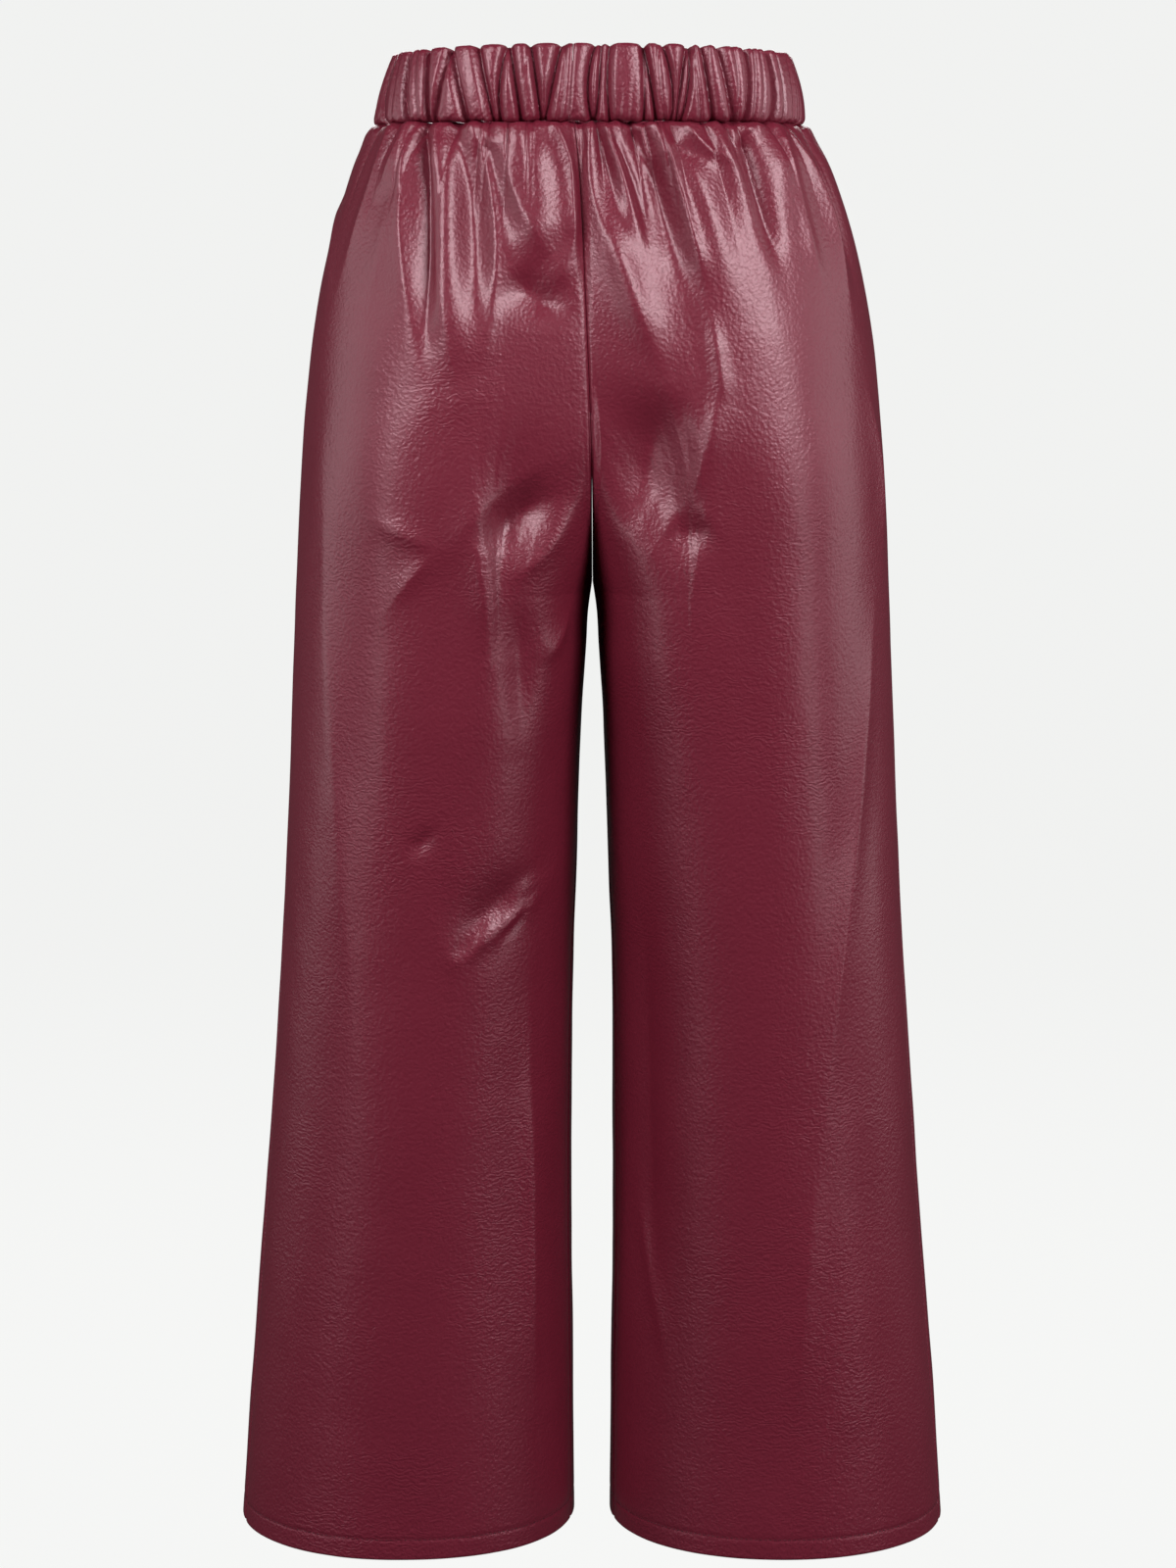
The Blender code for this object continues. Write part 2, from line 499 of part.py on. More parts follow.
def zip_rows(mesh, upper, lower, upper_shares, lower_shares):
    """Faces between two rows of points, which may have different numbers of columns."""
    if len(upper) == len(lower):
        for i in range(len(upper) - 1):
            mesh.faces.new((upper[i], upper[i + 1], lower[i + 1], lower[i]))
        return
    i = j = 0
    while i < len(upper) - 1 or j < len(lower) - 1:
        lower_done = j == len(lower) - 1
        if i < len(upper) - 1 and (lower_done or upper_shares[i + 1] <= lower_shares[j + 1]):
            mesh.faces.new((upper[i], upper[i + 1], lower[j]))
            i += 1
        else:
            mesh.faces.new((upper[i], lower[j + 1], lower[j]))
            j += 1


def panel_rows(side, face):
    """Rows of one panel from the waistband to the hem: section, places along it, gathers there."""
    valleys, joint = all_gathers()
    columns = gather_columns(valleys + valleys[:1])
    top = Half(side, WAISTBAND_SEAM - SEAM_GAP / 2)
    start, stop = panel_span(top, face)
    total = top.along[-1]
    inside = []
    for _, seam, depth, _ in columns:
        place = seam if side > 0 else 1 - seam
        share = (place * 2 * total - start) / (stop - start)
        if 0.012 < share < 0.988:
            inside.append((share, depth))
    inside.sort()
    shares = np.array([0.0] + [share for share, _ in inside] + [1.0])
    depths = np.array([0.0] + [depth for _, depth in inside] + [0.0])
    rows = []
    gathered = [WAISTBAND_SEAM - SEAM_GAP / 2] + [z * CM for z in GATHERED_ROWS]
    for z, fade in zip(gathered, GATHER_FADE):
        half = Half(side, z)
        start, stop = panel_span(half, face)
        rows.append((half, start + (stop - start) * shares, depths * fade * MM))
    bottom = SEAT_BOTTOM
    fork_rows = [bottom + (FORK - bottom) * math.sin(math.pi / 2 * step / FORK_STEPS)
                 for step in range(1, FORK_STEPS + 1)]
    for heights, count in (([z * CM for z in EVEN_ROWS] + fork_rows, COLUMNS_ABOVE_FORK),
                           ([z * CM for z in LEG_ROWS] + [HEM], COLUMNS_ON_LEG)):
        for z in heights:
            half = Half(side, z)
            rows.append((half, half.spread(face, count), 0.0))
    return rows


def make_panel(side, face):
    """Closed wall of one panel, from the waistband seam to the hem."""
    paths = [(fold, fold_path(side, face, fold)) for fold in FOLDS[face] if fold.x2 * side > 0]
    mesh = bmesh.new()
    outer, inner, shares = [], [], []
    for half, along, gathers in panel_rows(side, face):
        body = np.column_stack([half.point(along), np.full(len(along), half.z)])
        normal = outward(side, face, half.z, along)
        lift = panel_relief(face, half, along, paths) + gathers
        outer.append([mesh.verts.new(p) for p in body + normal * lift[:, None]])
        inner.append([mesh.verts.new(p) for p in body + normal * (lift - CLOTH)[:, None]])
        shares.append((along - along[0]) / (along[-1] - along[0]))
    for wall in (outer, inner):
        for k in range(len(wall) - 1):
            zip_rows(mesh, wall[k], wall[k + 1], shares[k], shares[k + 1])
    for k in (0, -1):
        zip_rows(mesh, outer[k], inner[k], shares[k], shares[k])
    for edge in (0, -1):
        for k in range(len(outer) - 1):
            mesh.faces.new((outer[k][edge], outer[k + 1][edge], inner[k + 1][edge], inner[k][edge]))
    return mesh


def faux_leather():
    """Burgundy coated cloth: a soft gloss over a deep red."""
    material = bpy.data.materials.new("burgundy faux leather")
    material.use_nodes = True
    shader = material.node_tree.nodes["Principled BSDF"]
    shader.inputs["Base Color"].default_value = (0.11, 0.018, 0.03, 1)
    shader.inputs["Roughness"].default_value = 0.38
    shader.inputs["Metallic"].default_value = 0.0
    return material


def add_piece(name, mesh):
    """A named object from a closed mesh, with its faces turned outwards."""
    bmesh.ops.recalc_face_normals(mesh, faces=mesh.faces)
    bmesh.ops.triangulate(mesh, faces=mesh.faces, quad_method="SHORT_EDGE")
    data = bpy.data.meshes.new(name)
    mesh.to_mesh(data)
    mesh.free()
    material = faux_leather()
    material.name = name + " faux leather"
    data.materials.append(material)
    data.shade_smooth()
    data.set_sharp_from_angle(angle=math.radians(50))
    piece = bpy.data.objects.new(name, data)
    bpy.context.scene.collection.objects.link(piece)
    return piece


def main():
    for old in list(bpy.data.objects):
        bpy.data.objects.remove(old)
    add_piece("waistband", make_band())
    for side, word in ((-1, "left"), (1, "right")):
        for face in ("back", "front"):
            add_piece(face + "_" + word, make_panel(side, face))


main()
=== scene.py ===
# %% [markdown]
# # Faux leather wide-leg trousers
#
# This lesson dresses a rigid model of a pair of trousers as the real garment: coated cloth that is gathered
# on an elastic waistband, falls in long folds and shines softly under studio lights. The rigid model gives
# the size and the outline. Everything here is laid over that same body shape, with far finer relief.
#
# All sizes are in metres. The back of the trousers faces -Y, where the camera stands, and the wearer's left
# leg is at -X. The first cell loads the rigid model.

# %% Load the rigid model
import json
import math
import random
from collections import namedtuple
from itertools import cycle

import bpy
import numpy as np
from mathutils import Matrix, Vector, noise

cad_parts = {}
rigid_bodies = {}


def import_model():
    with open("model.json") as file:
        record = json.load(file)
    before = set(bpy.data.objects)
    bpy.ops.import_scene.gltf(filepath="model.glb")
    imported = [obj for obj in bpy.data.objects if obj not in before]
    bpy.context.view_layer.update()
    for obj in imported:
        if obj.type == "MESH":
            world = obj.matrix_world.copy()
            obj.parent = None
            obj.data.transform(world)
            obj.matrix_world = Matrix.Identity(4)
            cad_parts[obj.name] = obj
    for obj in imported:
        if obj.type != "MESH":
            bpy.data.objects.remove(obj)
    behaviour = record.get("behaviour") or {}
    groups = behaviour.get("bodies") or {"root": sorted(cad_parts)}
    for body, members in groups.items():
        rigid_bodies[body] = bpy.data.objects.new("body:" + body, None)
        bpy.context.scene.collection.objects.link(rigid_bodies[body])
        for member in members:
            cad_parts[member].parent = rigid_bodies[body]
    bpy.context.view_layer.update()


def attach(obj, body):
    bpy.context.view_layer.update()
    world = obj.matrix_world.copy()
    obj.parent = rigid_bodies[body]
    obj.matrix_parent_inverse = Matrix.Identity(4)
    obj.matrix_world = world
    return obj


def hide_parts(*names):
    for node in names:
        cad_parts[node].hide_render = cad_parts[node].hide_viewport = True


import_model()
CM = 0.01
MM = 0.001

# %% [markdown]
# ## The body under the cloth
#
# A pattern cutter thinks of trousers as rings round the body: the waist, the hips, then a ring for each leg.
# A short table of rings, with a smooth curve through its rows, gives the whole body. A table is easier to
# correct than a sculpted mesh, and it keeps this cloth on the rigid model, which is built from the same rows.

# %% Heights and rings of the body
WAISTBAND_TOP = 2.4 * CM
WAISTBAND_SEAM = -2.4 * CM
SEAT_BOTTOM = -20.5 * CM     # below these heights the centre seams curve under to the fork
FRONT_BOTTOM = -23.5 * CM
FORK = -31.8 * CM            # where the four panels meet between the legs
HEM = -96.0 * CM
SEAM_GAP = 0.3 * MM          # clear space between two pieces at a seam
FACE = {"back": -1.0, "front": 1.0}
SIDE = {-1: "left", 1: "right"}

# half_width: centre to the outer side. back, front: depth at the fullest place of each face. full_x: how
# far from the centre that place is. inner, outer: how square the corners are; 2 is an ellipse.
Ring = namedtuple("Ring", "z half_width back front full_x inner outer")
RINGS = [
    Ring(-2.4, 13.85, 10.1, 9.9, 3.5, 2.3, 2.3),
    Ring(-4.4, 15.06, 10.6, 10.3, 4.0, 2.3, 2.3),
    Ring(-6.9, 16.07, 11.2, 10.7, 4.5, 2.3, 2.3),
    Ring(-10.7, 17.20, 12.1, 11.2, 5.5, 2.4, 2.3),
    Ring(-15.7, 18.20, 13.0, 11.7, 7.0, 2.5, 2.25),
    Ring(-19.6, 18.66, 13.4, 11.75, 8.0, 2.7, 2.2),
    Ring(-23.4, 19.00, 13.6, 11.8, 9.0, 3.0, 2.2),
    Ring(-31.8, 19.50, 13.2, 11.6, 9.75, 3.4, 2.15),
    Ring(-43.6, 20.09, 12.3, 11.2, 10.5, 2.7, 2.15),
    Ring(-55.7, 20.81, 11.5, 10.9, 11.0, 2.3, 2.15),
    Ring(-67.9, 21.71, 10.9, 10.6, 11.5, 2.15, 2.15),
    Ring(-80.3, 22.77, 10.5, 10.3, 12.1, 2.15, 2.15),
    Ring(-88.7, 23.53, 10.3, 10.2, 12.4, 2.15, 2.15),
    Ring(-96.0, 24.08, 10.2, 10.2, 12.6, 2.15, 2.15),
]
# depth of the centre seams above the fork, and half of the gap between the legs below it
Rise = namedtuple("Rise", "z depth")
BACK_RISE = [Rise(-2.4, 10.1), Rise(-6.9, 11.1), Rise(-10.7, 11.9), Rise(-15.7, 12.6), Rise(-20.5, 12.7)]
FRONT_RISE = [Rise(-2.4, 9.9), Rise(-6.9, 10.6), Rise(-10.7, 11.0), Rise(-15.7, 11.3), Rise(-23.5, 11.3)]
LegGap = namedtuple("LegGap", "z half_gap")
LEG_GAPS = [
    LegGap(-31.8, 0.015), LegGap(-33.8, 0.29), LegGap(-35.8, 0.39), LegGap(-39.7, 0.65),
    LegGap(-43.6, 0.85), LegGap(-49.6, 1.05), LegGap(-57.7, 1.29), LegGap(-65.0, 1.38),
    LegGap(-78.0, 1.38), LegGap(-86.6, 1.28), LegGap(-96.0, 1.19),
]
# how far the side seam and the inseam sit towards the back, and how far the centre back seam leans left
SeamLine = namedtuple("SeamLine", "z side inseam lean")
SEAM_LINES = [
    SeamLine(-2.4, 0.5, 0.0, 0.9), SeamLine(-11.8, 0.7, 0.0, 0.5), SeamLine(-22.0, 1.0, 0.0, 0.1),
    SeamLine(-31.8, 1.5, 0.0, 0.0), SeamLine(-38.0, 1.9, 0.9, 0.0), SeamLine(-50.0, 2.4, 1.9, 0.0),
    SeamLine(-96.0, 2.9, 2.3, 0.0),
]


def eased(t):
    """Turns an even rise from 0 to 1 into one with soft ends."""
    return t * t * (3 - 2 * t)


def smooth_through(rows, column, z, unit=CM):
    """Value of a table's column at height z, on a smooth curve through its rows."""
    heights = np.array([row.z for row in rows]) * CM
    values = np.array([getattr(row, column) for row in rows]) * unit
    slopes = np.gradient(values, heights)
    i = int(np.clip(np.searchsorted(-heights, -z) - 1, 0, len(rows) - 2))
    step = heights[i + 1] - heights[i]
    t = min(max((z - heights[i]) / step, 0.0), 1.0)
    start = (1 + 2 * t) * (1 - t) ** 2 * values[i] + t * (1 - t) ** 2 * step * slopes[i]
    end = eased(t) * values[i + 1] + t * t * (t - 1) * step * slopes[i + 1]
    return start + end


print("hips across in cm:", round(2 * smooth_through(RINGS, "half_width", -20 * CM) / CM, 1))

# %% [markdown]
# ## One half of a ring
#
# At each height, one half of the trousers is a line from the centre back, round the side, to the centre
# front. On a leg the line goes on past the inseam and closes the tube. Two quarter curves of different
# squareness make each face, which is how a seat is full in the middle and still rounded at the hip.

# %% Half rings and where the seams cross them
QUARTER_STEPS = 90
EVEN_ABOVE = -13.0 * CM      # above this height the columns are evenly spaced along a section
TURNED_TO = -40.0 * CM       # from here down they return to even spacing
EVEN_BELOW = -55.0 * CM


def seam_depth(face, z):
    """Depth of the centre seam of one face: down the face, then round to the fork."""
    rows, bottom = (BACK_RISE, SEAT_BOTTOM) if face == "back" else (FRONT_RISE, FRONT_BOTTOM)
    if z >= bottom:
        return smooth_through(rows, "depth", z)
    if z <= FORK:
        return 0.0
    lowest = smooth_through(rows, "depth", bottom)
    return lowest * math.sqrt(max(0.0, 1 - ((bottom - z) / (bottom - FORK)) ** 2))


def rounded(squareness):
    """A rounded corner of a ring: its run and rise, each from 0 to 1."""
    turn = np.linspace(0, math.pi / 2, QUARTER_STEPS)
    run = 1 - np.clip(np.cos(turn), 0, 1) ** (2 / squareness)
    return run, np.sin(turn) ** (2 / squareness)


def quarter(centre, full_x, half_width, seam, depth, inner, outer):
    """Inner and outer quarter of a face, from the centre to the widest point, as x and depth."""
    run, rise = rounded(inner)
    dip = np.sqrt(seam ** 2 + (depth ** 2 - seam ** 2) * rise ** 2)
    inside = np.column_stack([centre + (full_x - centre) * run, dip])
    run, rise = rounded(outer)
    outside = np.column_stack([full_x + (half_width - full_x) * rise, depth * (1 - run)])
    return inside, outside[1:]


class Half:
    """One half of the section at a height, measured along its length from the centre back."""

    def __init__(self, side, z):
        self.side = side
        self.z = z
        full_x = smooth_through(RINGS, "full_x", z)
        half_width = smooth_through(RINGS, "half_width", z)
        on_leg = z <= FORK
        centre = smooth_through(LEG_GAPS, "half_gap", z) if on_leg else SEAM_GAP / 2
        corners = [smooth_through(RINGS, column, z, unit=1) for column in ("inner", "outer")]
        back, front = (quarter(centre, full_x, half_width, seam_depth(face, z),
                               smooth_through(RINGS, face, z), *corners) for face in ("back", "front"))
        back = [part * (1, -1) for part in back]
        pieces = [back[0], back[1], front[1][-2::-1], front[0][::-1]]
        if on_leg:
            pieces.append(back[0][1:])
        line = np.concatenate(pieces)
        lean = smooth_through(SEAM_LINES, "lean", z)
        towards_centre = np.clip(1 - line[:, 0] / full_x, 0, 1) * (line[:, 1] < 0)
        line[:, 0] = line[:, 0] * side - lean * towards_centre
        self.line = line
        self.along = np.concatenate([[0.0], np.cumsum(np.hypot(*np.diff(line, axis=0).T))])
        last = QUARTER_STEPS - 1
        self.full = {"back": self.along[last], "front": self.along[3 * last]}
        self.ends = {"back": (0, 2 * last), "front": (4 * last, 2 * last)}
        side_seam = self.at_depth(2 * last, last, smooth_through(SEAM_LINES, "side", z))
        wrap = self.at_depth(0, last, smooth_through(SEAM_LINES, "inseam", z) if on_leg else 0.0)
        self.span = {"back": (wrap + (SEAM_GAP / 2 if on_leg else 0), side_seam - SEAM_GAP / 2),
                     "front": (side_seam + SEAM_GAP / 2,
                               self.along[4 * last] + wrap - (SEAM_GAP / 2 if on_leg else 0))}

    def at_depth(self, start, stop, depth):
        """Length along the line where the back is this deep, between two of its points."""
        step = 1 if stop > start else -1
        span = slice(start, stop + step, step)
        return float(np.interp(depth, -self.line[span, 1], self.along[span]))

    def point(self, along):
        return np.column_stack([np.interp(along, self.along, self.line[:, 0]),
                                np.interp(along, self.along, self.line[:, 1]),
                                np.full(len(along), self.z)])

    def spread(self, face, count):
        """Places along a panel for its columns: evenly spaced high up, and spaced by the turn of the
        section lower down, so that they run straight past the fork."""
        start, stop = self.span[face]
        even = np.linspace(start, stop, count)
        numbers = np.arange(len(self.along))
        first, last = np.interp((start, stop), self.along, numbers)
        turned = np.interp(np.linspace(first, last, count), numbers, self.along)
        turned[[0, -1]] = start, stop
        below = min(max((EVEN_ABOVE - self.z) / (EVEN_ABOVE - SEAT_BOTTOM), 0.0), 1.0)
        low = min(max((TURNED_TO - self.z) / (TURNED_TO - EVEN_BELOW), 0.0), 1.0)
        return even + (turned - even) * below * (1 - eased(low))

    def across(self, face, along):
        """Distance outwards from the fullest place of a face."""
        return (along - self.full[face]) * -FACE[face]

    def across_at_x(self, face, x):
        """The same distance for a point that is seen at x."""
        start, stop = self.ends[face]
        step = 1 if stop > start else -1
        span = slice(start, stop + step, step)
        along = np.interp(x * self.side, self.line[span, 0] * self.side, self.along[span])
        return self.across(face, along)


hem_half = Half(1, HEM)
print("hem round in cm:", round(hem_half.along[4 * (QUARTER_STEPS - 1)] / CM, 1))

# %% [markdown]
# ## Creases of the back
#
# Coated cloth doesn't fall like wool. It is stiff, so each gather at the waist starts as a sharp rib and
# opens out a hand's width lower, and the seat and the knees keep a few dents. A simulation could find folds,
# but not these folds. So each one is a row: three places that it passes, how far its flanks reach to either
# side, how flat its crown is and how high it stands. Uneven flanks are what makes a rib catch the light on
# one side only. A trough is a row with a negative height.

# %% Creases of the back
# x and z in cm at the upper end, the middle and the lower end; minus and plus: width in mm of the flank
# towards -X and +X; crown and height in mm; end: 1 leaves a quarter of the height at the lower end, 0 none
Crease = namedtuple("Crease", "x1 z1 x2 z2 x3 z3 minus plus crown height end")
BACK_CREASES = [
    # left leg, from the side to the centre
    Crease(-13.6, -2.8, -16.1, -6.6, -16.9, -14.9, 5, 3, 0.8, 1.2, 0.6),
    Crease(-16.9, -14.9, -16.6, -39.6, -14.9, -66.5, 14, 10, 3, 2.6, 0.6),
    Crease(-12.4, -2.6, -14.1, -7.2, -16.5, -14.1, 3, 6, 0.8, 2.2, 0.5),
    Crease(-11.1, -2.6, -12.2, -4.9, -13.6, -7.7, 3, 4, 0.7, 2.2, 0.3),
    Crease(-12.2, -6.3, -13.0, -10.0, -14.3, -14.8, 8, 8, 4, 2.0, 0.3),
    Crease(-10.9, -2.8, -11.7, -9.4, -10.3, -19.9, 6, 3.5, 0.9, 4.5, 0.5),
    Crease(-10.4, -2.8, -10.1, -9.4, -10.5, -18.2, 2.5, 2.5, 0.8, -4.5, 0.3),
    Crease(-9.4, -2.7, -9.7, -10.0, -8.1, -19.4, 3, 6, 0.9, 3.2, 0.6),
    Crease(-8.7, -4.0, -8.6, -13.0, -7.9, -18.6, 6, 6, 6, 3.5, 0.8),
    Crease(-8.3, -2.9, -7.4, -9.4, -7.1, -17.1, 5, 6, 2.5, -5.0, 0.5),
    Crease(-7.3, -2.6, -6.0, -10.0, -7.2, -19.1, 5, 3, 0.9, 3.4, 0.6),
    Crease(-6.7, -2.7, -6.2, -3.6, -5.3, -4.3, 2, 2, 0.5, 2.0, 0.4),
    Crease(-4.9, -2.5, -4.9, -6.7, -1.8, -11.6, 4, 3, 0.7, 3.5, 1.0),
    Crease(-2.1, -2.6, -0.9, -7.3, -1.8, -11.6, 3, 2, 0.7, 3.5, 1.0),
    Crease(-3.9, -3.4, -3.2, -7.9, -2.2, -10.6, 7, 7, 6, 5.0, 0.9),
    Crease(-6.2, -4.2, -5.8, -7.0, -4.9, -10.4, 5, 5, 2, -2.8, 0.4),
    Crease(-5.2, -11.3, -3.6, -13.0, -1.0, -14.2, 6, 6, 4, -4.0, 0.4),
    # right leg, from the centre to the side
    Crease(0.3, -2.7, 0.1, -7.1, 3.2, -14.1, 3, 3, 0.8, 2.0, 0.5),
    Crease(0.6, -5.8, 2.2, -12.4, 4.7, -18.2, 7, 7, 5, 5.0, 0.7),
    Crease(0.5, -2.5, 0.9, -4.6, 1.8, -8.8, 1.8, 1.8, 0.6, -2.2, 0.3),
    Crease(1.0, -2.7, 2.4, -7.2, 3.4, -11.0, 3, 2, 0.6, 3.0, 0.3),
    Crease(1.6, -3.6, 2.8, -7.1, 3.6, -11.1, 2, 3, 1.0, -3.0, 0.3),
    Crease(1.7, -3.6, 3.1, -7.0, 5.2, -14.8, 6, 6, 3, 2.4, 0.5),
    Crease(2.8, -3.2, 4.2, -7.3, 6.1, -14.8, 5, 4, 2, -5.0, 0.5),
    Crease(3.3, -2.6, 3.5, -4.3, 4.3, -5.2, 2, 2, 0.6, 2.4, 0.8),
    Crease(4.1, -2.6, 4.6, -4.0, 4.3, -5.2, 2, 2, 0.6, 2.4, 0.8),
    Crease(4.5, -2.7, 6.0, -8.7, 7.1, -13.0, 4, 2.5, 0.8, 4.2, 0.6),
    Crease(7.1, -13.0, 7.8, -17.1, 8.2, -20.0, 3, 3, 0.8, 2.0, 0.4),
    Crease(5.0, -2.9, 5.9, -4.3, 7.9, -4.9, 4, 4, 1.5, -2.2, 0.3),
    Crease(6.1, -2.8, 7.2, -4.1, 8.7, -4.9, 2, 3, 0.7, 2.6, 0.5),
    Crease(7.2, -2.6, 9.6, -7.1, 11.5, -14.8, 4, 4, 1.2, 2.2, 0.4),
    Crease(5.4, -3.8, 7.4, -8.8, 8.5, -14.8, 5, 6, 3, 3.0, 0.5),
    Crease(9.5, -2.5, 9.8, -2.9, 10.0, -3.2, 2, 2, 0.6, 1.6, 0.6),
    Crease(9.6, -3.8, 10.6, -7.8, 11.9, -12.1, 3, 3, 1.2, -3.4, 0.4),
    Crease(10.6, -2.6, 11.8, -4.6, 12.1, -10.6, 5, 5, 3, 3.0, 0.5),
    Crease(12.0, -3.7, 13.3, -8.5, 14.7, -13.3, 2.5, 2.5, 0.6, 1.8, 0.4),
    Crease(12.0, -2.5, 14.7, -7.7, 16.4, -14.9, 4, 2.5, 0.8, 3.6, 0.6),
    Crease(13.5, -2.7, 15.3, -7.0, 16.8, -12.8, 2.5, 3, 0.8, -3.0, 0.4),
    Crease(13.4, -2.6, 15.2, -4.2, 17.2, -10.0, 3, 3, 0.8, 2.0, 0.4),
    Crease(17.2, -18.0, 18.4, -24.1, 18.7, -31.0, 5, 4, 1.0, 1.8, 0.4),
    Crease(18.2, -30.0, 16.9, -46.8, 14.9, -68.0, 5, 5, 1.0, 2.2, 0.6),
    Crease(14.9, -68.0, 14.0, -77.0, 13.4, -88.0, 5, 5, 1.0, 1.4, 0.2),
    # under the seat
    Crease(8.0, -17.0, 6.9, -23.0, 3.6, -29.0, 5, 6, 1.2, 3.4, 0.8),
    Crease(6.6, -19.0, 4.8, -23.8, 2.0, -29.0, 5, 5, 2.0, 0.9, 0.8),
    Crease(4.6, -18.5, 3.2, -23.0, 1.6, -28.5, 14, 13, 6, -6.0, 0.8),
    Crease(7.6, -27.0, 6.2, -27.8, 4.4, -28.2, 6, 6, 3, -2.6, 0.8),
    Crease(-14.6, -26.6, -11.6, -27.9, -9.4, -28.8, 4, 4, 1.0, 1.6, 0.8),
    Crease(-9.4, -28.6, -11.2, -30.4, -13.2, -33.0, 4, 4, 1.0, 1.5, 0.8),
    Crease(-10.0, -30.6, -6.4, -26.0, -1.0, -22.6, 9, 7, 3, 2.2, 0.8),
    Crease(-7.2, -29.0, -4.6, -27.0, -1.6, -25.6, 8, 9, 4, -5.0, 0.8),
    Crease(-5.6, -31.0, -3.0, -29.0, -0.8, -25.8, 4, 6, 1.0, 2.6, 0.8),
    Crease(-7.6, -27.6, -6.9, -31.0, -6.6, -36.0, 5, 4, 1.0, 2.4, 0.8),
    Crease(-5.2, -31.0, -4.4, -36.0, -4.6, -42.0, 8, 8, 5, -3.4, 0.6),
    Crease(-3.2, -36.4, -2.2, -34.8, -1.4, -32.8, 4, 5, 1.0, 1.8, 0.8),
    # hollows below the seat
    Crease(7.6, -25.6, 4.4, -25.4, 0.8, -26.6, 26, 20, 14, -5.0, 1.0),
    Crease(-7.6, -25.6, -4.4, -25.4, -0.8, -26.6, 26, 20, 14, -5.0, 1.0),
    # knees and shins
    Crease(-9.8, -54.6, -6.2, -52.2, -3.4, -49.4, 10, 10, 4, -4.0, 0.5),
    Crease(-10.2, -56.0, -5.9, -53.4, -2.6, -50.6, 4, 5, 1.0, 3.0, 0.5),
    Crease(-9.4, -54.2, -8.2, -54.6, -7.0, -53.2, 2, 3, 0.8, -1.3, 0.5),
    Crease(-8.0, -55.6, -6.8, -53.4, -5.8, -53.0, 2, 2, 0.8, 1.2, 0.5),
    Crease(-6.4, -54.0, -5.0, -53.4, -4.0, -51.6, 2, 2, 0.8, -1.3, 0.5),
    Crease(-5.4, -52.4, -4.4, -51.0, -3.0, -50.6, 2, 3, 0.8, 1.2, 0.5),
    Crease(-11.9, -48.5, -10.9, -47.6, -9.7, -46.6, 3, 3, 0.8, -1.5, 0.5),
    Crease(-4.1, -54.4, -4.2, -73.7, -3.7, -86.8, 5, 12, 1.2, 4.0, 0.5),
    Crease(2.6, -71.2, 3.6, -77.5, 5.0, -83.8, 4, 4, 1.0, 1.5, 0.5),
    Crease(3.4, -46.0, 3.2, -66.0, 4.4, -88.0, 16, 16, 4, -4.0, 0.5),
]
print(len(BACK_CREASES), "creases on the back")

# %% [markdown]
# ## Creases of the front
#
# The front isn't seen in the picture, but the same cloth hangs from the same elastic, so it gets folds of the
# same kind: long ribs from the waistband, two soft dents in the lap on either side of the fork, and shallow
# ones at the knees and down the shins. A few short ribs with seeded random places fill in between them.

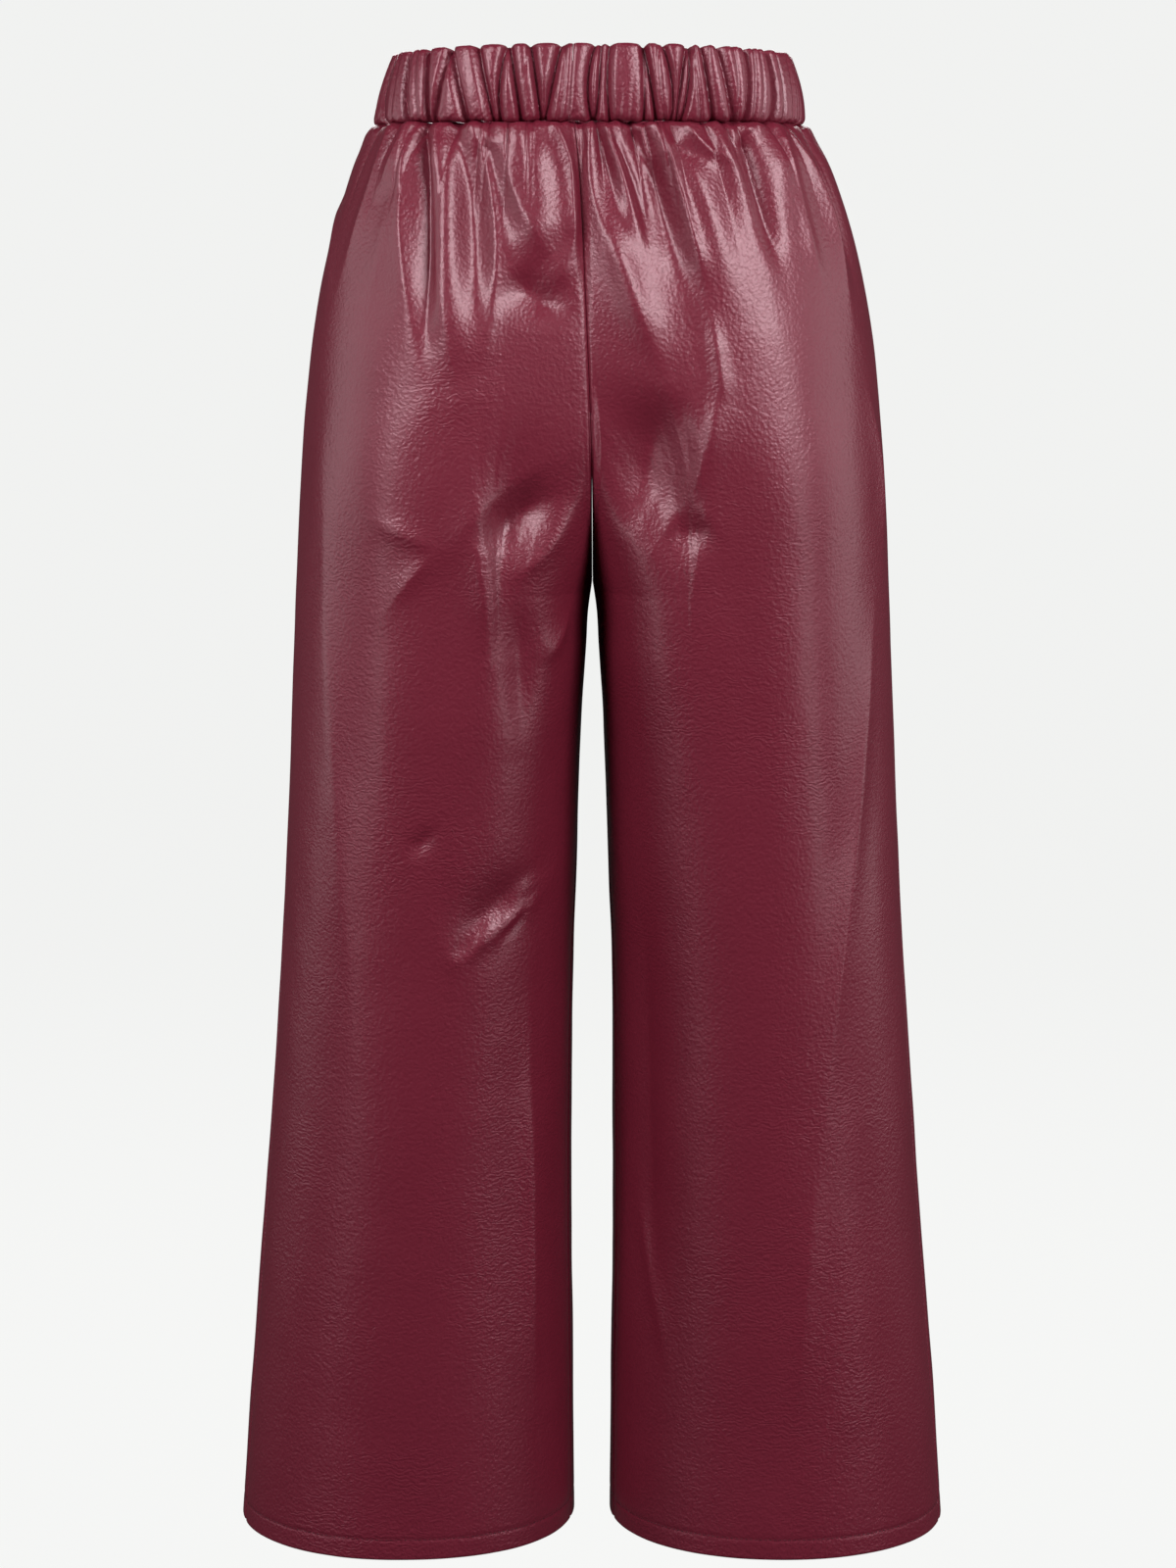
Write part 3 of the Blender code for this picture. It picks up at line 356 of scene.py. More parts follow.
# %% Creases of the front
FRONT_CREASES = [
    Crease(12.9, -2.8, 15.2, -7.0, 16.7, -14.0, 3, 5, 0.8, 3.2, 0.5),
    Crease(11.2, -2.8, 12.2, -9.6, 12.8, -18.0, 3.5, 6, 0.9, 4.0, 0.5),
    Crease(10.2, -2.8, 10.7, -8.4, 11.0, -15.0, 3, 3, 0.8, -4.2, 0.3),
    Crease(8.4, -2.8, 8.9, -10.0, 9.2, -19.5, 6, 6, 4, 4.4, 0.6),
    Crease(7.0, -2.8, 7.0, -8.6, 7.4, -15.6, 5, 5, 2, -4.0, 0.4),
    Crease(5.2, -2.8, 5.3, -8.6, 4.6, -15.6, 3, 5, 0.9, 4.0, 0.5),
    Crease(3.6, -2.8, 3.6, -7.0, 3.0, -11.8, 4, 4, 1.5, -3.6, 0.4),
    Crease(2.2, -3.0, 2.0, -6.6, 1.6, -9.6, 3, 3, 0.8, 3.4, 0.5),
    Crease(-1.6, -3.0, -1.8, -6.0, -1.4, -8.8, 3, 3, 0.8, 3.2, 0.5),
    Crease(-3.0, -2.8, -3.6, -8.2, -4.2, -14.0, 5, 4, 2, -4.0, 0.4),
    Crease(-4.6, -2.8, -5.4, -9.2, -6.6, -17.4, 6, 4, 1.2, 4.6, 0.6),
    Crease(-6.6, -2.8, -7.6, -8.8, -8.8, -15.2, 4, 5, 1.5, -4.0, 0.4),
    Crease(-8.3, -2.8, -9.4, -9.6, -10.4, -18.6, 6, 4, 1.0, 4.2, 0.5),
    Crease(-10.3, -2.8, -11.6, -7.6, -12.8, -13.4, 3, 3, 1.0, -3.6, 0.4),
    Crease(-12.0, -2.8, -13.9, -8.2, -15.4, -15.8, 4, 3, 0.8, 3.4, 0.5),
    Crease(2.4, -23.2, 5.0, -25.2, 8.2, -25.6, 7, 7, 3, -2.6, 0.4),
    Crease(2.2, -26.0, 4.4, -28.0, 7.0, -29.6, 5, 5, 1.2, 3.4, 0.4),
    Crease(-2.2, -24.6, -4.8, -26.4, -7.6, -27.6, 9, 9, 3, -2.6, 0.4),
    Crease(-2.4, -27.4, -4.4, -29.8, -6.6, -32.4, 5, 5, 1.2, 3.4, 0.4),
    Crease(4.4, -52.0, 7.0, -53.6, 10.6, -54.0, 7, 7, 3, -3.4, 0.4),
    Crease(-3.8, -49.6, -6.6, -51.6, -10.4, -53.0, 7, 7, 3, -3.4, 0.4),
    Crease(5.2, -58.0, 5.0, -73.0, 5.6, -88.0, 12, 6, 1.5, 3.0, 0.5),
    Crease(-6.0, -56.0, -5.6, -72.0, -5.4, -88.0, 6, 12, 1.5, 3.0, 0.5),
    Crease(-3.2, -60.0, -3.0, -74.0, -3.2, -90.0, 12, 12, 3, -3.0, 0.4),
]
chance = random.Random(6)
for _ in range(16):
    top = chance.uniform(-12.5, 12.5)
    length = chance.uniform(2.0, 6.0)
    spread_out = top * chance.uniform(0.02, 0.05) * length / 4
    FRONT_CREASES.append(Crease(top, -2.7, top + spread_out, -2.7 - length / 2,
                                top + 2 * spread_out, -2.7 - length,
                                chance.uniform(2, 4), chance.uniform(2, 4), 0.7,
                                chance.choice((-1, 1)) * chance.uniform(1.4, 2.4), 0.3))
CREASES = {"back": BACK_CREASES, "front": FRONT_CREASES}
print(len(FRONT_CREASES), "creases on the front")

# %% [markdown]
# ## From a crease to a height
#
# Each place on the cloth finds the nearest point of the crease's curve. Half of the height falls away from
# there like a tent with a rounded ridge pole, and half is a wider round swell, so that the light runs softly
# into the ridge's bright line. Widths are measured over the cloth itself, so that a fold keeps its width
# where it turns round the hip. A gather fans out towards its lower end, and every crease fades at its ends.

# %% Height of one crease
CURVE_STEPS = 9
RIDGE_SHARE = 0.5            # this share of a crease's height is a sharp ridge, the rest a round swell
SWELL_WIDTH = 1.5            # the swell is this many flanks wide
RIDGE_GAIN = 1.5             # all ridges are raised alike by this
TROUGH_GAIN = 1.8            # and all troughs are sunk by this
CREASE_REACH = 7             # a flank is counted out to this many of its widths
GATHER_TOP = -4.5            # cm; a crease that starts above this height is a gather of the waistband
FADE = 0.45                  # share of a crease's length over which an end rises or falls
END_LEFT = 0.25              # share of the height left at a lower end whose row says 1
FAN = 0.8                    # gathers are this much wider at their lower end
CROWN_FAN = 3                # and their crowns widen this many times faster


def tent(gap, crown, width):
    """1 at a gap of 0, falling away to both sides from a rounded crown."""
    return np.exp(-(np.sqrt(gap ** 2 + crown ** 2) - crown) / width)


def crease_curve(side, face, crease):
    """The crease's course over the cloth: distance across, height and share of its length."""
    places = []
    for t in np.linspace(0, 1, CURVE_STEPS):
        weights = ((1 - t) * (1 - 2 * t), 4 * t * (1 - t), t * (2 * t - 1))
        x = sum(w * v for w, v in zip(weights, (crease.x1, crease.x2, crease.x3))) * CM
        z = sum(w * v for w, v in zip(weights, (crease.z1, crease.z2, crease.z3))) * CM
        places.append((float(Half(side, z).across_at_x(face, x)), z, t))
    return np.array(places)


def crease_height(side, crease, curve, across, z):
    """Height in metres that one crease adds at places on a panel."""
    nearest = np.full(across.shape, 1.0)
    share = np.zeros(across.shape)
    turned = np.zeros(across.shape)
    for a, b in zip(curve[:-1], curve[1:]):
        run = b[:2] - a[:2]
        t = np.clip(((across - a[0]) * run[0] + (z - a[1]) * run[1]) / (run @ run), 0, 1)
        off_x = across - a[0] - t * run[0]
        off_z = z - a[1] - t * run[1]
        gap = np.hypot(off_x, off_z)
        closer = gap < nearest
        nearest = np.where(closer, gap, nearest)
        share = np.where(closer, a[2] + t * (b[2] - a[2]), share)
        turned = np.where(closer, (run[0] * off_z - run[1] * off_x) * side, turned)
    left_over = END_LEFT * crease.end
    fade = left_over + (1 - left_over) * eased(np.clip((1 - share) / FADE, 0, 1))
    fan = np.ones(share.shape)
    if crease.z1 > GATHER_TOP:
        fan += FAN * share ** 2
    else:
        fade *= eased(np.clip(share / FADE, 0, 1))
    width = np.where(turned > 0, crease.plus, crease.minus) * MM * fan
    ridge = tent(nearest, crease.crown * MM * (1 + CROWN_FAN * (fan - 1)), width)
    swell = np.exp(-0.5 * (nearest / (SWELL_WIDTH * width)) ** 2)
    profile = RIDGE_SHARE * ridge + (1 - RIDGE_SHARE) * swell
    gain = RIDGE_GAIN if crease.height > 0 else TROUGH_GAIN
    return gain * crease.height * MM * profile * fade


sample = BACK_CREASES[0]
print("the first crease is", round(math.hypot(sample.x3 - sample.x1, sample.z3 - sample.z1), 1), "cm long")

# %% [markdown]
# ## Gathers of the waistband
#
# The band is one strip of faux leather, longer than the elastic inside it, so it bunches into puffs of very
# uneven width. Only the valleys between the puffs are listed, by their place round the ring at the top edge,
# halfway down and at the seam. A puff then needs no row of its own: it is what stands between two valleys.

# %% Valleys round the waistband
# places in cm round the ring from the centre back, + towards the wearer's right; depth and width in mm;
# low: 1 where the valley only shows in the lower half, -1 where it only shows at the top edge, else 0
Valley = namedtuple("Valley", "top middle seam depth width low")
BACK_VALLEYS = [
    Valley(-18.6, -18.7, -18.9, 3.0, 2.0, 0), Valley(-17.0, -17.1, -17.2, 2.0, 1.6, 0),
    Valley(-15.3, -15.9, -15.2, 4.0, 2.0, 0), Valley(-14.1, -14.0, -14.0, 1.5, 1.4, 0),
    Valley(-12.9, -12.8, -12.3, 4.0, 2.2, 0), Valley(-11.9, -11.6, -11.2, 2.0, 1.4, 0),
    Valley(-11.0, -10.7, -10.6, 5.0, 1.8, 0), Valley(-9.2, -9.6, -10.1, 3.0, 1.6, 0),
    Valley(-9.1, -8.4, -7.7, 4.0, 2.2, 0), Valley(-7.2, -6.6, -6.0, 4.0, 2.2, 0),
    Valley(-5.3, -5.7, -5.5, 3.0, 1.8, 0), Valley(-5.1, -4.7, -4.2, 4.0, 1.8, 0),
    Valley(-3.9, -4.2, -4.3, 1.5, 1.2, -1), Valley(-3.8, -3.4, -3.0, 4.0, 1.8, 0),
    Valley(-1.9, -2.4, -2.7, 4.0, 2.0, 0), Valley(-1.7, -1.7, -1.9, 1.5, 1.2, 0),
    Valley(0.2, -0.2, 0.2, 4.0, 1.6, 0), Valley(0.55, 0.5, 0.42, 2.5, 1.3, 0),
    Valley(1.1, 1.0, 1.3, 3.0, 1.8, 0), Valley(1.9, 1.9, 1.9, 1.2, 1.2, 1),
    Valley(2.6, 2.6, 2.6, 1.2, 1.2, 1), Valley(3.1, 3.3, 3.4, 2.5, 1.3, 0),
    Valley(3.2, 3.7, 4.2, 5.0, 1.8, 0), Valley(4.1, 4.2, 4.7, 2.0, 1.3, 0),
    Valley(4.4, 5.0, 5.1, 3.0, 1.5, 0), Valley(5.9, 5.6, 5.5, 4.0, 1.8, 0),
    Valley(6.1, 6.1, 5.8, 4.0, 1.4, 0), Valley(6.3, 6.6, 7.0, 2.0, 1.4, 0),
    Valley(6.9, 7.3, 7.9, 3.0, 1.8, 0), Valley(7.2, 7.2, 7.2, 1.5, 1.2, -1),
    Valley(8.0, 8.6, 9.3, 3.0, 3.0, 0), Valley(9.0, 9.3, 9.4, 1.5, 1.2, 0),
    Valley(10.1, 10.2, 10.1, 2.5, 1.8, 0), Valley(10.7, 10.7, 10.7, 2.0, 1.4, 0),
    Valley(11.2, 11.3, 11.3, 2.0, 1.4, 0), Valley(12.0, 12.4, 12.4, 3.0, 2.0, 0),
    Valley(13.3, 13.6, 13.8, 3.0, 2.0, 0), Valley(14.8, 14.8, 15.0, 2.0, 1.6, 0),
    Valley(15.6, 15.6, 15.8, 2.0, 1.6, 0), Valley(17.1, 17.0, 17.0, 4.0, 2.0, 0),
    Valley(18.4, 18.6, 18.7, 2.0, 1.6, 0),
]
# the front repeats a run of puffs: width in cm, how far the valley leans in cm, and its depth in mm
Puff = namedtuple("Puff", "width lean depth")
FRONT_PUFFS = [
    Puff(1.3, 0.3, 3.6), Puff(0.7, 0.1, 2.2), Puff(1.1, -0.3, 4.0), Puff(1.7, 0.4, 3.2),
    Puff(0.8, 0.0, 2.4), Puff(0.6, -0.1, 4.4), Puff(1.4, 0.3, 3.0), Puff(1.0, -0.2, 2.0),
    Puff(0.7, 0.1, 3.8), Puff(1.9, -0.4, 4.2), Puff(0.9, 0.2, 2.6),
]
BandRing = namedtuple("BandRing", "half_width half_depth")
BAND_AT_SEAM = BandRing(13.95, 10.2)
BAND_AT_TOP = BandRing(12.75, 9.6)
BAND_FULL_X = 3.5
BAND_CORNER = 2.3
FRONT_VALLEY_WIDTH = 1.8     # mm
FRONT_START = 0.6            # cm from a side of the ring to the first valley of the front
FRONT_STOP = 0.5
MIDDLE_LEAN = 0.6            # a leaning valley has this share of its lean halfway up
BAND_JOINT = -1.25           # cm round the ring where the strip's two ends meet


def band_ring(share):
    """The waistband's ring at a share of its height: its line and the length along it."""
    ring = [a + (b - a) * share for a, b in zip(BAND_AT_SEAM, BAND_AT_TOP)]
    inner, outer = quarter(0, BAND_FULL_X * CM, ring[0] * CM, ring[1] * CM, ring[1] * CM,
                           BAND_CORNER, BAND_CORNER)
    right_back = np.concatenate([inner, outer]) * (1, -1)
    right_front = (right_back * (1, -1))[-2::-1]
    left = (np.concatenate([right_back, right_front]) * (-1, 1))[-2:0:-1]
    line = np.concatenate([right_back, right_front, left, right_back[:1]])
    return line, np.concatenate([[0.0], np.cumsum(np.hypot(*np.diff(line, axis=0).T))])


def ring_length(share):
    return band_ring(share)[1][-1]


seam_round = ring_length(0) / CM
narrower = (ring_length(1) / ring_length(0), ring_length(0.5) / ring_length(0))
VALLEYS = list(BACK_VALLEYS)
place = seam_round / 4 + FRONT_START
for puff in cycle(FRONT_PUFFS):
    if place >= 0.75 * seam_round - FRONT_STOP:
        break
    VALLEYS.append(Valley((place + puff.lean) * narrower[0], (place + MIDDLE_LEAN * puff.lean) * narrower[1],
                          place, puff.depth, FRONT_VALLEY_WIDTH, 0))
    place += puff.width
print(len(VALLEYS), "valleys round", round(seam_round, 1), "cm")

# %% [markdown]
# ## Gathers that run on below the seam
#
# The sewing machine catches the panel in the same gathers as the band. So the puffs between the band's deep
# valleys go on below the seam and die out after two to six centimetres, and along the seam itself the cloth
# has tiny tucks a few millimetres apart. The lengths come from a seeded generator, because no two tucks run
# equally far and the cloth must still be the same in every run.

# %% Tucks under the waistband
DEEP_VALLEY = 2.5            # mm; from this depth on, a valley parts two puffs
PUFF_SLOPE = 0.42            # a puff rises by this share of its width
PUFF_LIMIT = 4.6 * MM
PUFF_ROUND = 0.62            # 0.5 is an ellipse's arc, 1 a parabola
PUFF_REACH = (18, 60)        # mm that the puffs run on below the seam
PUFF_FADE = 1.5
TUCK_FLOOR = 2.8 * MM        # the foot of the puffs lies this far inside the body's surface
TUCK_FLOOR_REACH = 34 * MM
SMALL_TUCK_DEPTH = 0.9 * MM
SMALL_TUCK_CROWN = 0.4 * MM
SMALL_TUCK_WIDTH = 1.0 * MM
SMALL_TUCK_REACH = 4.5 * MM
SMALL_TUCK_STEP = (3.0, 6.5)  # mm from one tiny tuck to the next
PANEL_EDGE = 0.01            # share of a panel's width at either seam without tiny tucks
TUCK_SEEDS = {-1: 23, 1: 11}


def puffs(place, valleys_at, length):
    """Rounded puffs between valleys: their height at each place, and each puff's number."""
    edges = np.sort(np.asarray(valleys_at) % 1)
    edges = np.concatenate([edges[-1:] - 1, edges, edges[:1] + 1])
    number = np.clip(np.searchsorted(edges, place % 1, side="right") - 1, 0, len(edges) - 2)
    span = edges[number + 1] - edges[number]
    share = (place % 1 - edges[number]) / np.maximum(span, 1e-6)
    rise = np.minimum(PUFF_SLOPE * span * length, PUFF_LIMIT)
    return rise * np.clip(4 * share * (1 - share), 0, 1) ** PUFF_ROUND, number


def tucks(side, face, share, width, below):
    """Height that the gathers add at shares of a panel's width and a distance below the seam."""
    chance = random.Random(TUCK_SEEDS[side])
    top = Half(side, WAISTBAND_SEAM - SEAM_GAP / 2)
    start, stop = top.span[face]
    deep = [valley for valley in VALLEYS if valley.depth >= DEEP_VALLEY]
    reach = np.array([chance.uniform(*PUFF_REACH) for _ in range(len(deep) + 1)]) * MM
    round_ring = (start + share * (stop - start)) / (2 * top.along[-1])
    round_ring = round_ring if side > 0 else 1 - round_ring
    rise, number = puffs(round_ring, [valley.seam / seam_round for valley in deep], seam_round * CM)
    reach_there = np.where(rise > TUCK_FLOOR, reach[number], TUCK_FLOOR_REACH)
    height = (rise - TUCK_FLOOR) * np.exp(-(below / reach_there) ** PUFF_FADE)
    at = PANEL_EDGE
    while at < 1 - PANEL_EDGE:
        groove = tent((share - at) * width, SMALL_TUCK_CROWN, SMALL_TUCK_WIDTH)
        depth = SMALL_TUCK_DEPTH * chance.uniform(0.5, 1.2)
        height -= depth * groove * np.exp(-below / (SMALL_TUCK_REACH * chance.uniform(0.6, 1.6)))
        at += chance.uniform(*SMALL_TUCK_STEP) * MM / (stop - start)
    return height


behind = [valley for valley in BACK_VALLEYS if abs(valley.seam) < seam_round / 4]
print("the back panels take up", len(behind), "valleys of the band")

# %% [markdown]
# ## The relief of a panel
#
# Now the parts are added up: creases, tucks, a slow waviness that keeps flat stretches from looking like
# metal, the roll of the cloth into each seam, and the groove that the hem's stitches pull. Near the seams the
# creases die out, so that two neighbouring panels meet edge to edge. The waistband's seam isn't a ruled line
# either: the tucks push it up and down by up to a millimetre, and band and panels share that wander.

# %% Sum of a panel's relief
RAMP_START = 0.6             # a crease has this share of its height at the waistband seam
CREASE_RAMP = 2.5 * CM       # and all of it this far below
CENTRE_CALM = 0.5 * CM       # creases die out from this distance to a centre seam
SIDE_CALM = 1.0 * CM         # or from this distance to a side seam
SEAM_ROLL = 1.4 * MM
SEAM_ROLL_WIDTH = 1.6 * MM
TOP_ROLL = 4.2 * MM
TOP_ROLL_WIDTH = 1.5 * MM
TUCK_CALM = 2.0 * MM         # the tucks have their full height this far from a centre seam
HEM_STITCHES = HEM + 13 * MM
HEM_GROOVE = 0.5 * MM
HEM_GROOVE_CROWN = 0.3 * MM
HEM_GROOVE_WIDTH = 0.8 * MM
WAVE_HEIGHT = 0.9 * MM
QUICK_WAVES = 0.35           # height of the smaller waves, as a share of the slow ones
SWAY = -2.5 * MM             # the waist seam hangs this far towards the wearer's left
SWAY_REACH = 2.5 * CM
WANDER = 0.9 * MM
WANDER_REACH = 4.0 * MM
# two wavers of the seam: share, turns round the waist, and the size and turns of their own unevenness
WAVERS = ((0.6, 31, 2, 7), (0.4, 67, 3, 5))


def settle(points):
    """Moves points near the waist seam as the real seam lies: a little to the left, and wavering."""
    below = np.abs(points[..., 2] - WAISTBAND_SEAM)
    moved = points.copy()
    moved[..., 0] += SWAY * np.exp(-below / SWAY_REACH)
    turn = np.arctan2(points[..., 0], -points[..., 1])
    wander = sum(share * np.sin(turns * turn + uneven * np.sin(slow * turn))
                 for share, turns, uneven, slow in WAVERS)
    moved[..., 2] += WANDER * wander * np.exp(-below / WANDER_REACH)
    return moved


def waves(points):
    """Slow uneven waviness, from two sizes of noise, longer down the cloth than across it."""
    heights = []
    for x, y, z in points.reshape(-1, 3):
        slow = noise.noise(Vector((x * 14, y * 14, z * 7)))
        quick = noise.noise(Vector((x * 42 + 5, y * 42, z * 26)))
        heights.append(slow + QUICK_WAVES * quick)
    return np.array(heights).reshape(points.shape[:2]) * WAVE_HEIGHT


def panel_relief(side, face, body, z, across, from_start, from_stop):
    """Height of the cloth over the body for a whole panel, in metres."""
    height = np.zeros(z.shape)
    for crease in CREASES[face]:
        if crease.x2 * side > 0:
            reach = CREASE_REACH * max(crease.minus, crease.plus) * MM
            passed = (crease.z1, crease.z2, crease.z3)
            rows = (z[:, 0] < max(passed) * CM + reach) & (z[:, 0] > min(passed) * CM - reach)
            curve = crease_curve(side, face, crease)
            height[rows] += crease_height(side, crease, curve, across[rows], z[rows])
    from_centre, from_side = (from_start, from_stop) if face == "back" else (from_stop, from_start)
    calm = eased(np.clip(from_centre / CENTRE_CALM, 0, 1) * np.clip(from_side / SIDE_CALM, 0, 1))
    below = WAISTBAND_SEAM - z
    ramp = RAMP_START + (1 - RAMP_START) * np.clip(below / CREASE_RAMP, 0, 1)
    width = from_start + from_stop
    height = height * ramp * calm + waves(body) * calm
    height += tucks(side, face, from_start / width, width, below) * np.clip(from_centre / TUCK_CALM, 0, 1)
    for from_seam in (from_start, from_stop):
        height -= SEAM_ROLL * np.exp(-from_seam / SEAM_ROLL_WIDTH)
    height -= TOP_ROLL * np.exp(-below / TOP_ROLL_WIDTH)
    height -= HEM_GROOVE * tent(z - HEM_STITCHES, HEM_GROOVE_CROWN, HEM_GROOVE_WIDTH)
    return height


print("relief functions are ready")

# %% [markdown]
# ## Cutting and hanging a panel
#
# A panel is a grid of points: rows from the waistband to the hem, closer together where the cloth is busy,
# and columns from seam to seam. The grid is laid on the body and lifted along its own outward directions.
# Below the hem line a few more rows turn the edge under and bring it up inside, as a real hem does, and at
# the other edges a strip turns in, as the allowance of a sewn seam does. The skin is one layer. Its knit
# backing is a second, coarser layer inside, because few will look there, and the saved faces sharpen the
# gathers outside.

# %% Rows and columns of a panel
COLUMNS = 262
FORK_ROWS = 54
CLOTH = 1.0 * MM             # how thick the skin and its backing are together
ALLOWANCE = 4.0 * MM
TOP_ALLOWANCE = 10.0 * MM    # the waist seam's is wider, so that it closes behind the band's valleys
FOLD_RADIUS = 1.1 * MM
FOLD_STEPS = 5
HEM_UP = (3 * MM, 8 * MM, 13.5 * MM)  # how far up inside the hem's turned rows lie
LOOK_AT_ROW = 30             # a smooth row below the seam, where the outside is easy to tell
# stretches of even rows above and below the fork: where each one stops and the distance of its rows
RowBand = namedtuple("RowBand", "stop step")
UPPER_ROWS = [RowBand(-6 * CM, 1.1 * MM), RowBand(SEAT_BOTTOM, 1.8 * MM)]
LOWER_ROWS = [RowBand(-40 * CM, 2.4 * MM), RowBand(-58 * CM, 3.5 * MM), RowBand(-94 * CM, 6.0 * MM),
              RowBand(HEM, 1.2 * MM)]


def steps_down(start, bands):
    """Heights below a start, evenly spaced in each stretch."""
    steps = []
    for band in bands:
        count = max(1, round((start - band.stop) / band.step))
        steps += list(np.linspace(start, band.stop, count + 1)[1:])
        start = band.stop
    return steps


def panel_heights():
    """Heights of the rows, from the waistband seam to the hem."""
    top = WAISTBAND_SEAM - SEAM_GAP / 2
    round_the_seat = [SEAT_BOTTOM + (FORK - SEAT_BOTTOM) * math.sin(math.pi / 2 * step / FORK_ROWS)
                      for step in range(1, FORK_ROWS + 1)]
    return [top] + steps_down(top, UPPER_ROWS) + round_the_seat + steps_down(FORK, LOWER_ROWS)


def directions(side, face, body):
    """Outward directions of a grid of body points."""
    down = np.gradient(body, axis=0)
    along = np.gradient(body, axis=1)
    out = np.cross(down, along) * side
    # both panels at a centre seam share a direction that lies in the seam's own plane
    edge = 0 if face == "back" else -1
    reach = 0.5 * MM
    for row, z in enumerate(heights):
        if z >= FORK:
            rise = seam_depth(face, z + reach) - seam_depth(face, z - reach)
            out[row, edge] = (0, 2 * reach * FACE[face], -rise)
    level = (np.array(heights) > WAISTBAND_SEAM - MM) | (np.array(heights) <= HEM)
    out[level, :, 2] = 0
    return out / np.linalg.norm(out, axis=2)[:, :, None]


heights = panel_heights()
print(len(heights), "rows and", COLUMNS, "columns in a panel")

# %% [markdown]
# The mesh is made with one helper that turns a grid of points into quads. It looks at one quad to see whether
# it faces outwards, and turns all of them if it doesn't.

# %% Grid to mesh


def mesh_piece(name, vertices, faces):
    """A smooth mesh object in the scene."""
    data = bpy.data.meshes.new(name)
    data.from_pydata(vertices, [], faces)
    data.shade_smooth()
    piece = bpy.data.objects.new(name, data)
    bpy.context.scene.collection.objects.link(piece)
    return piece


def grid_piece(name, grid, outward, look_at=0, closed=False):
    """A smooth mesh object from rows of points, facing outward at the middle of one row. closed joins
    the last row to the first."""
    rows, columns = grid.shape[:2]
    faces = []
    for row in range(rows if closed else rows - 1):
        upper, lower = row * columns, (row + 1) % rows * columns
        faces += [(upper + i, upper + i + 1, lower + i + 1, lower + i) for i in range(columns - 1)]
    sample = faces[look_at * (columns - 1) + columns // 2]
    a, b, c, _ = (grid.reshape(-1, 3)[corner] for corner in sample)
    if np.cross(b - a, c - b) @ outward < 0:
        faces = [face[::-1] for face in faces]
    return mesh_piece(name, [tuple(point) for point in grid.reshape(-1, 3)], faces)


def turned_hem(grid, out, z):
    """Rows that turn the hem under and bring it up inside, with their outward directions."""
    rows, outs = [], []
    for step in range(1, FOLD_STEPS + 1):
        turn = math.pi * step / FOLD_STEPS
        inwards = FOLD_RADIUS * (1 - math.cos(turn))
        rows.append(grid[-1] - out[-1] * inwards - np.array((0, 0, FOLD_RADIUS * math.sin(turn))))
        outs.append(out[-1])
    for up in HEM_UP:
        row = int(np.argmin(abs(z - HEM - up)))
        rows.append(grid[row] - out[row] * 2 * FOLD_RADIUS)
        outs.append(out[row])
    return np.array(rows), np.array(outs)


def hang_skin(name, grid, out, z):
    """The skin of a panel, with its hem turned under and an allowance at each seam."""
    turned, turned_out = turned_hem(grid, out, z)
    top = grid[:1] - out[:1] * TOP_ALLOWANCE
    skin = np.concatenate([top, grid, turned])
    skin_out = np.concatenate([out[:1], out, turned_out])
    first, last = (skin[:, [edge]] - skin_out[:, [edge]] * ALLOWANCE for edge in (0, -1))
    outward = out[LOOK_AT_ROW, COLUMNS // 2]
    return grid_piece(name, np.concatenate([first, skin, last], axis=1), outward, LOOK_AT_ROW)


BACKING_ROW_STEP = 3
BACKING_COLUMN_STEP = 4
BACKING_START = 2            # rows that the backing stays below the waist seam and above the hem's edge


def hang_backing(name, body, out, relief):
    """The knit backing: a coarser layer that stays under the lowest places of the skin near it."""
    low = relief
    for step, axis in ((BACKING_ROW_STEP, 0), (BACKING_COLUMN_STEP, 1)):
        shifts = [np.roll(low, shift, axis=axis) for shift in range(-step, step + 1)]
        low = np.minimum.reduce(shifts)
    rows = np.unique(np.append(np.arange(BACKING_START, len(body) - BACKING_START, BACKING_ROW_STEP),
                               len(body) - BACKING_START - 1))
    columns = np.unique(np.append(np.arange(0, COLUMNS, BACKING_COLUMN_STEP), COLUMNS - 1))
    pick = np.ix_(rows, columns)
    grid = body[pick] + out[pick] * (low[pick] - CLOTH)[:, :, None]
    look_at = LOOK_AT_ROW // BACKING_ROW_STEP
    return grid_piece(name, grid, -out[rows[look_at], columns[len(columns) // 2]], look_at)


Panel = namedtuple("Panel", "skin knit stitch_line stitch_out")


def hang_panel(side, face):
    """One panel's skin and backing, with the line of its hem stitches and the outward directions there."""
    halves = [Half(side, z) for z in heights]
    places = [half.spread(face, COLUMNS) for half in halves]
    body = settle(np.array([half.point(along) for half, along in zip(halves, places)]))
    across = np.array([half.across(face, along) for half, along in zip(halves, places)])
    from_start = np.array([along - along[0] for along in places])
    from_stop = np.array([along[-1] - along for along in places])
    out = directions(side, face, body)
    z = np.array(heights)[:, None] + np.zeros(across.shape)
    relief = panel_relief(side, face, body, z, across, from_start, from_stop)
    grid = body + out * relief[:, :, None]
    skin = hang_skin(f"{SIDE[side]}_{face}_panel", grid, out, z[:, 0])
    knit = hang_backing(f"{SIDE[side]}_{face}_backing", body, out, relief)
    stitches = int(np.argmin(abs(z[:, 0] - HEM_STITCHES)))
    return Panel(skin, knit, grid[stitches], out[stitches])


panels = {}
for side in SIDE:
    for face in FACE:
        panel = hang_panel(side, face)
        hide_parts(f"{face}_{SIDE[side]}")
        print(panel.skin.name, len(panel.skin.data.polygons), "faces")
        panels[side, face] = panel

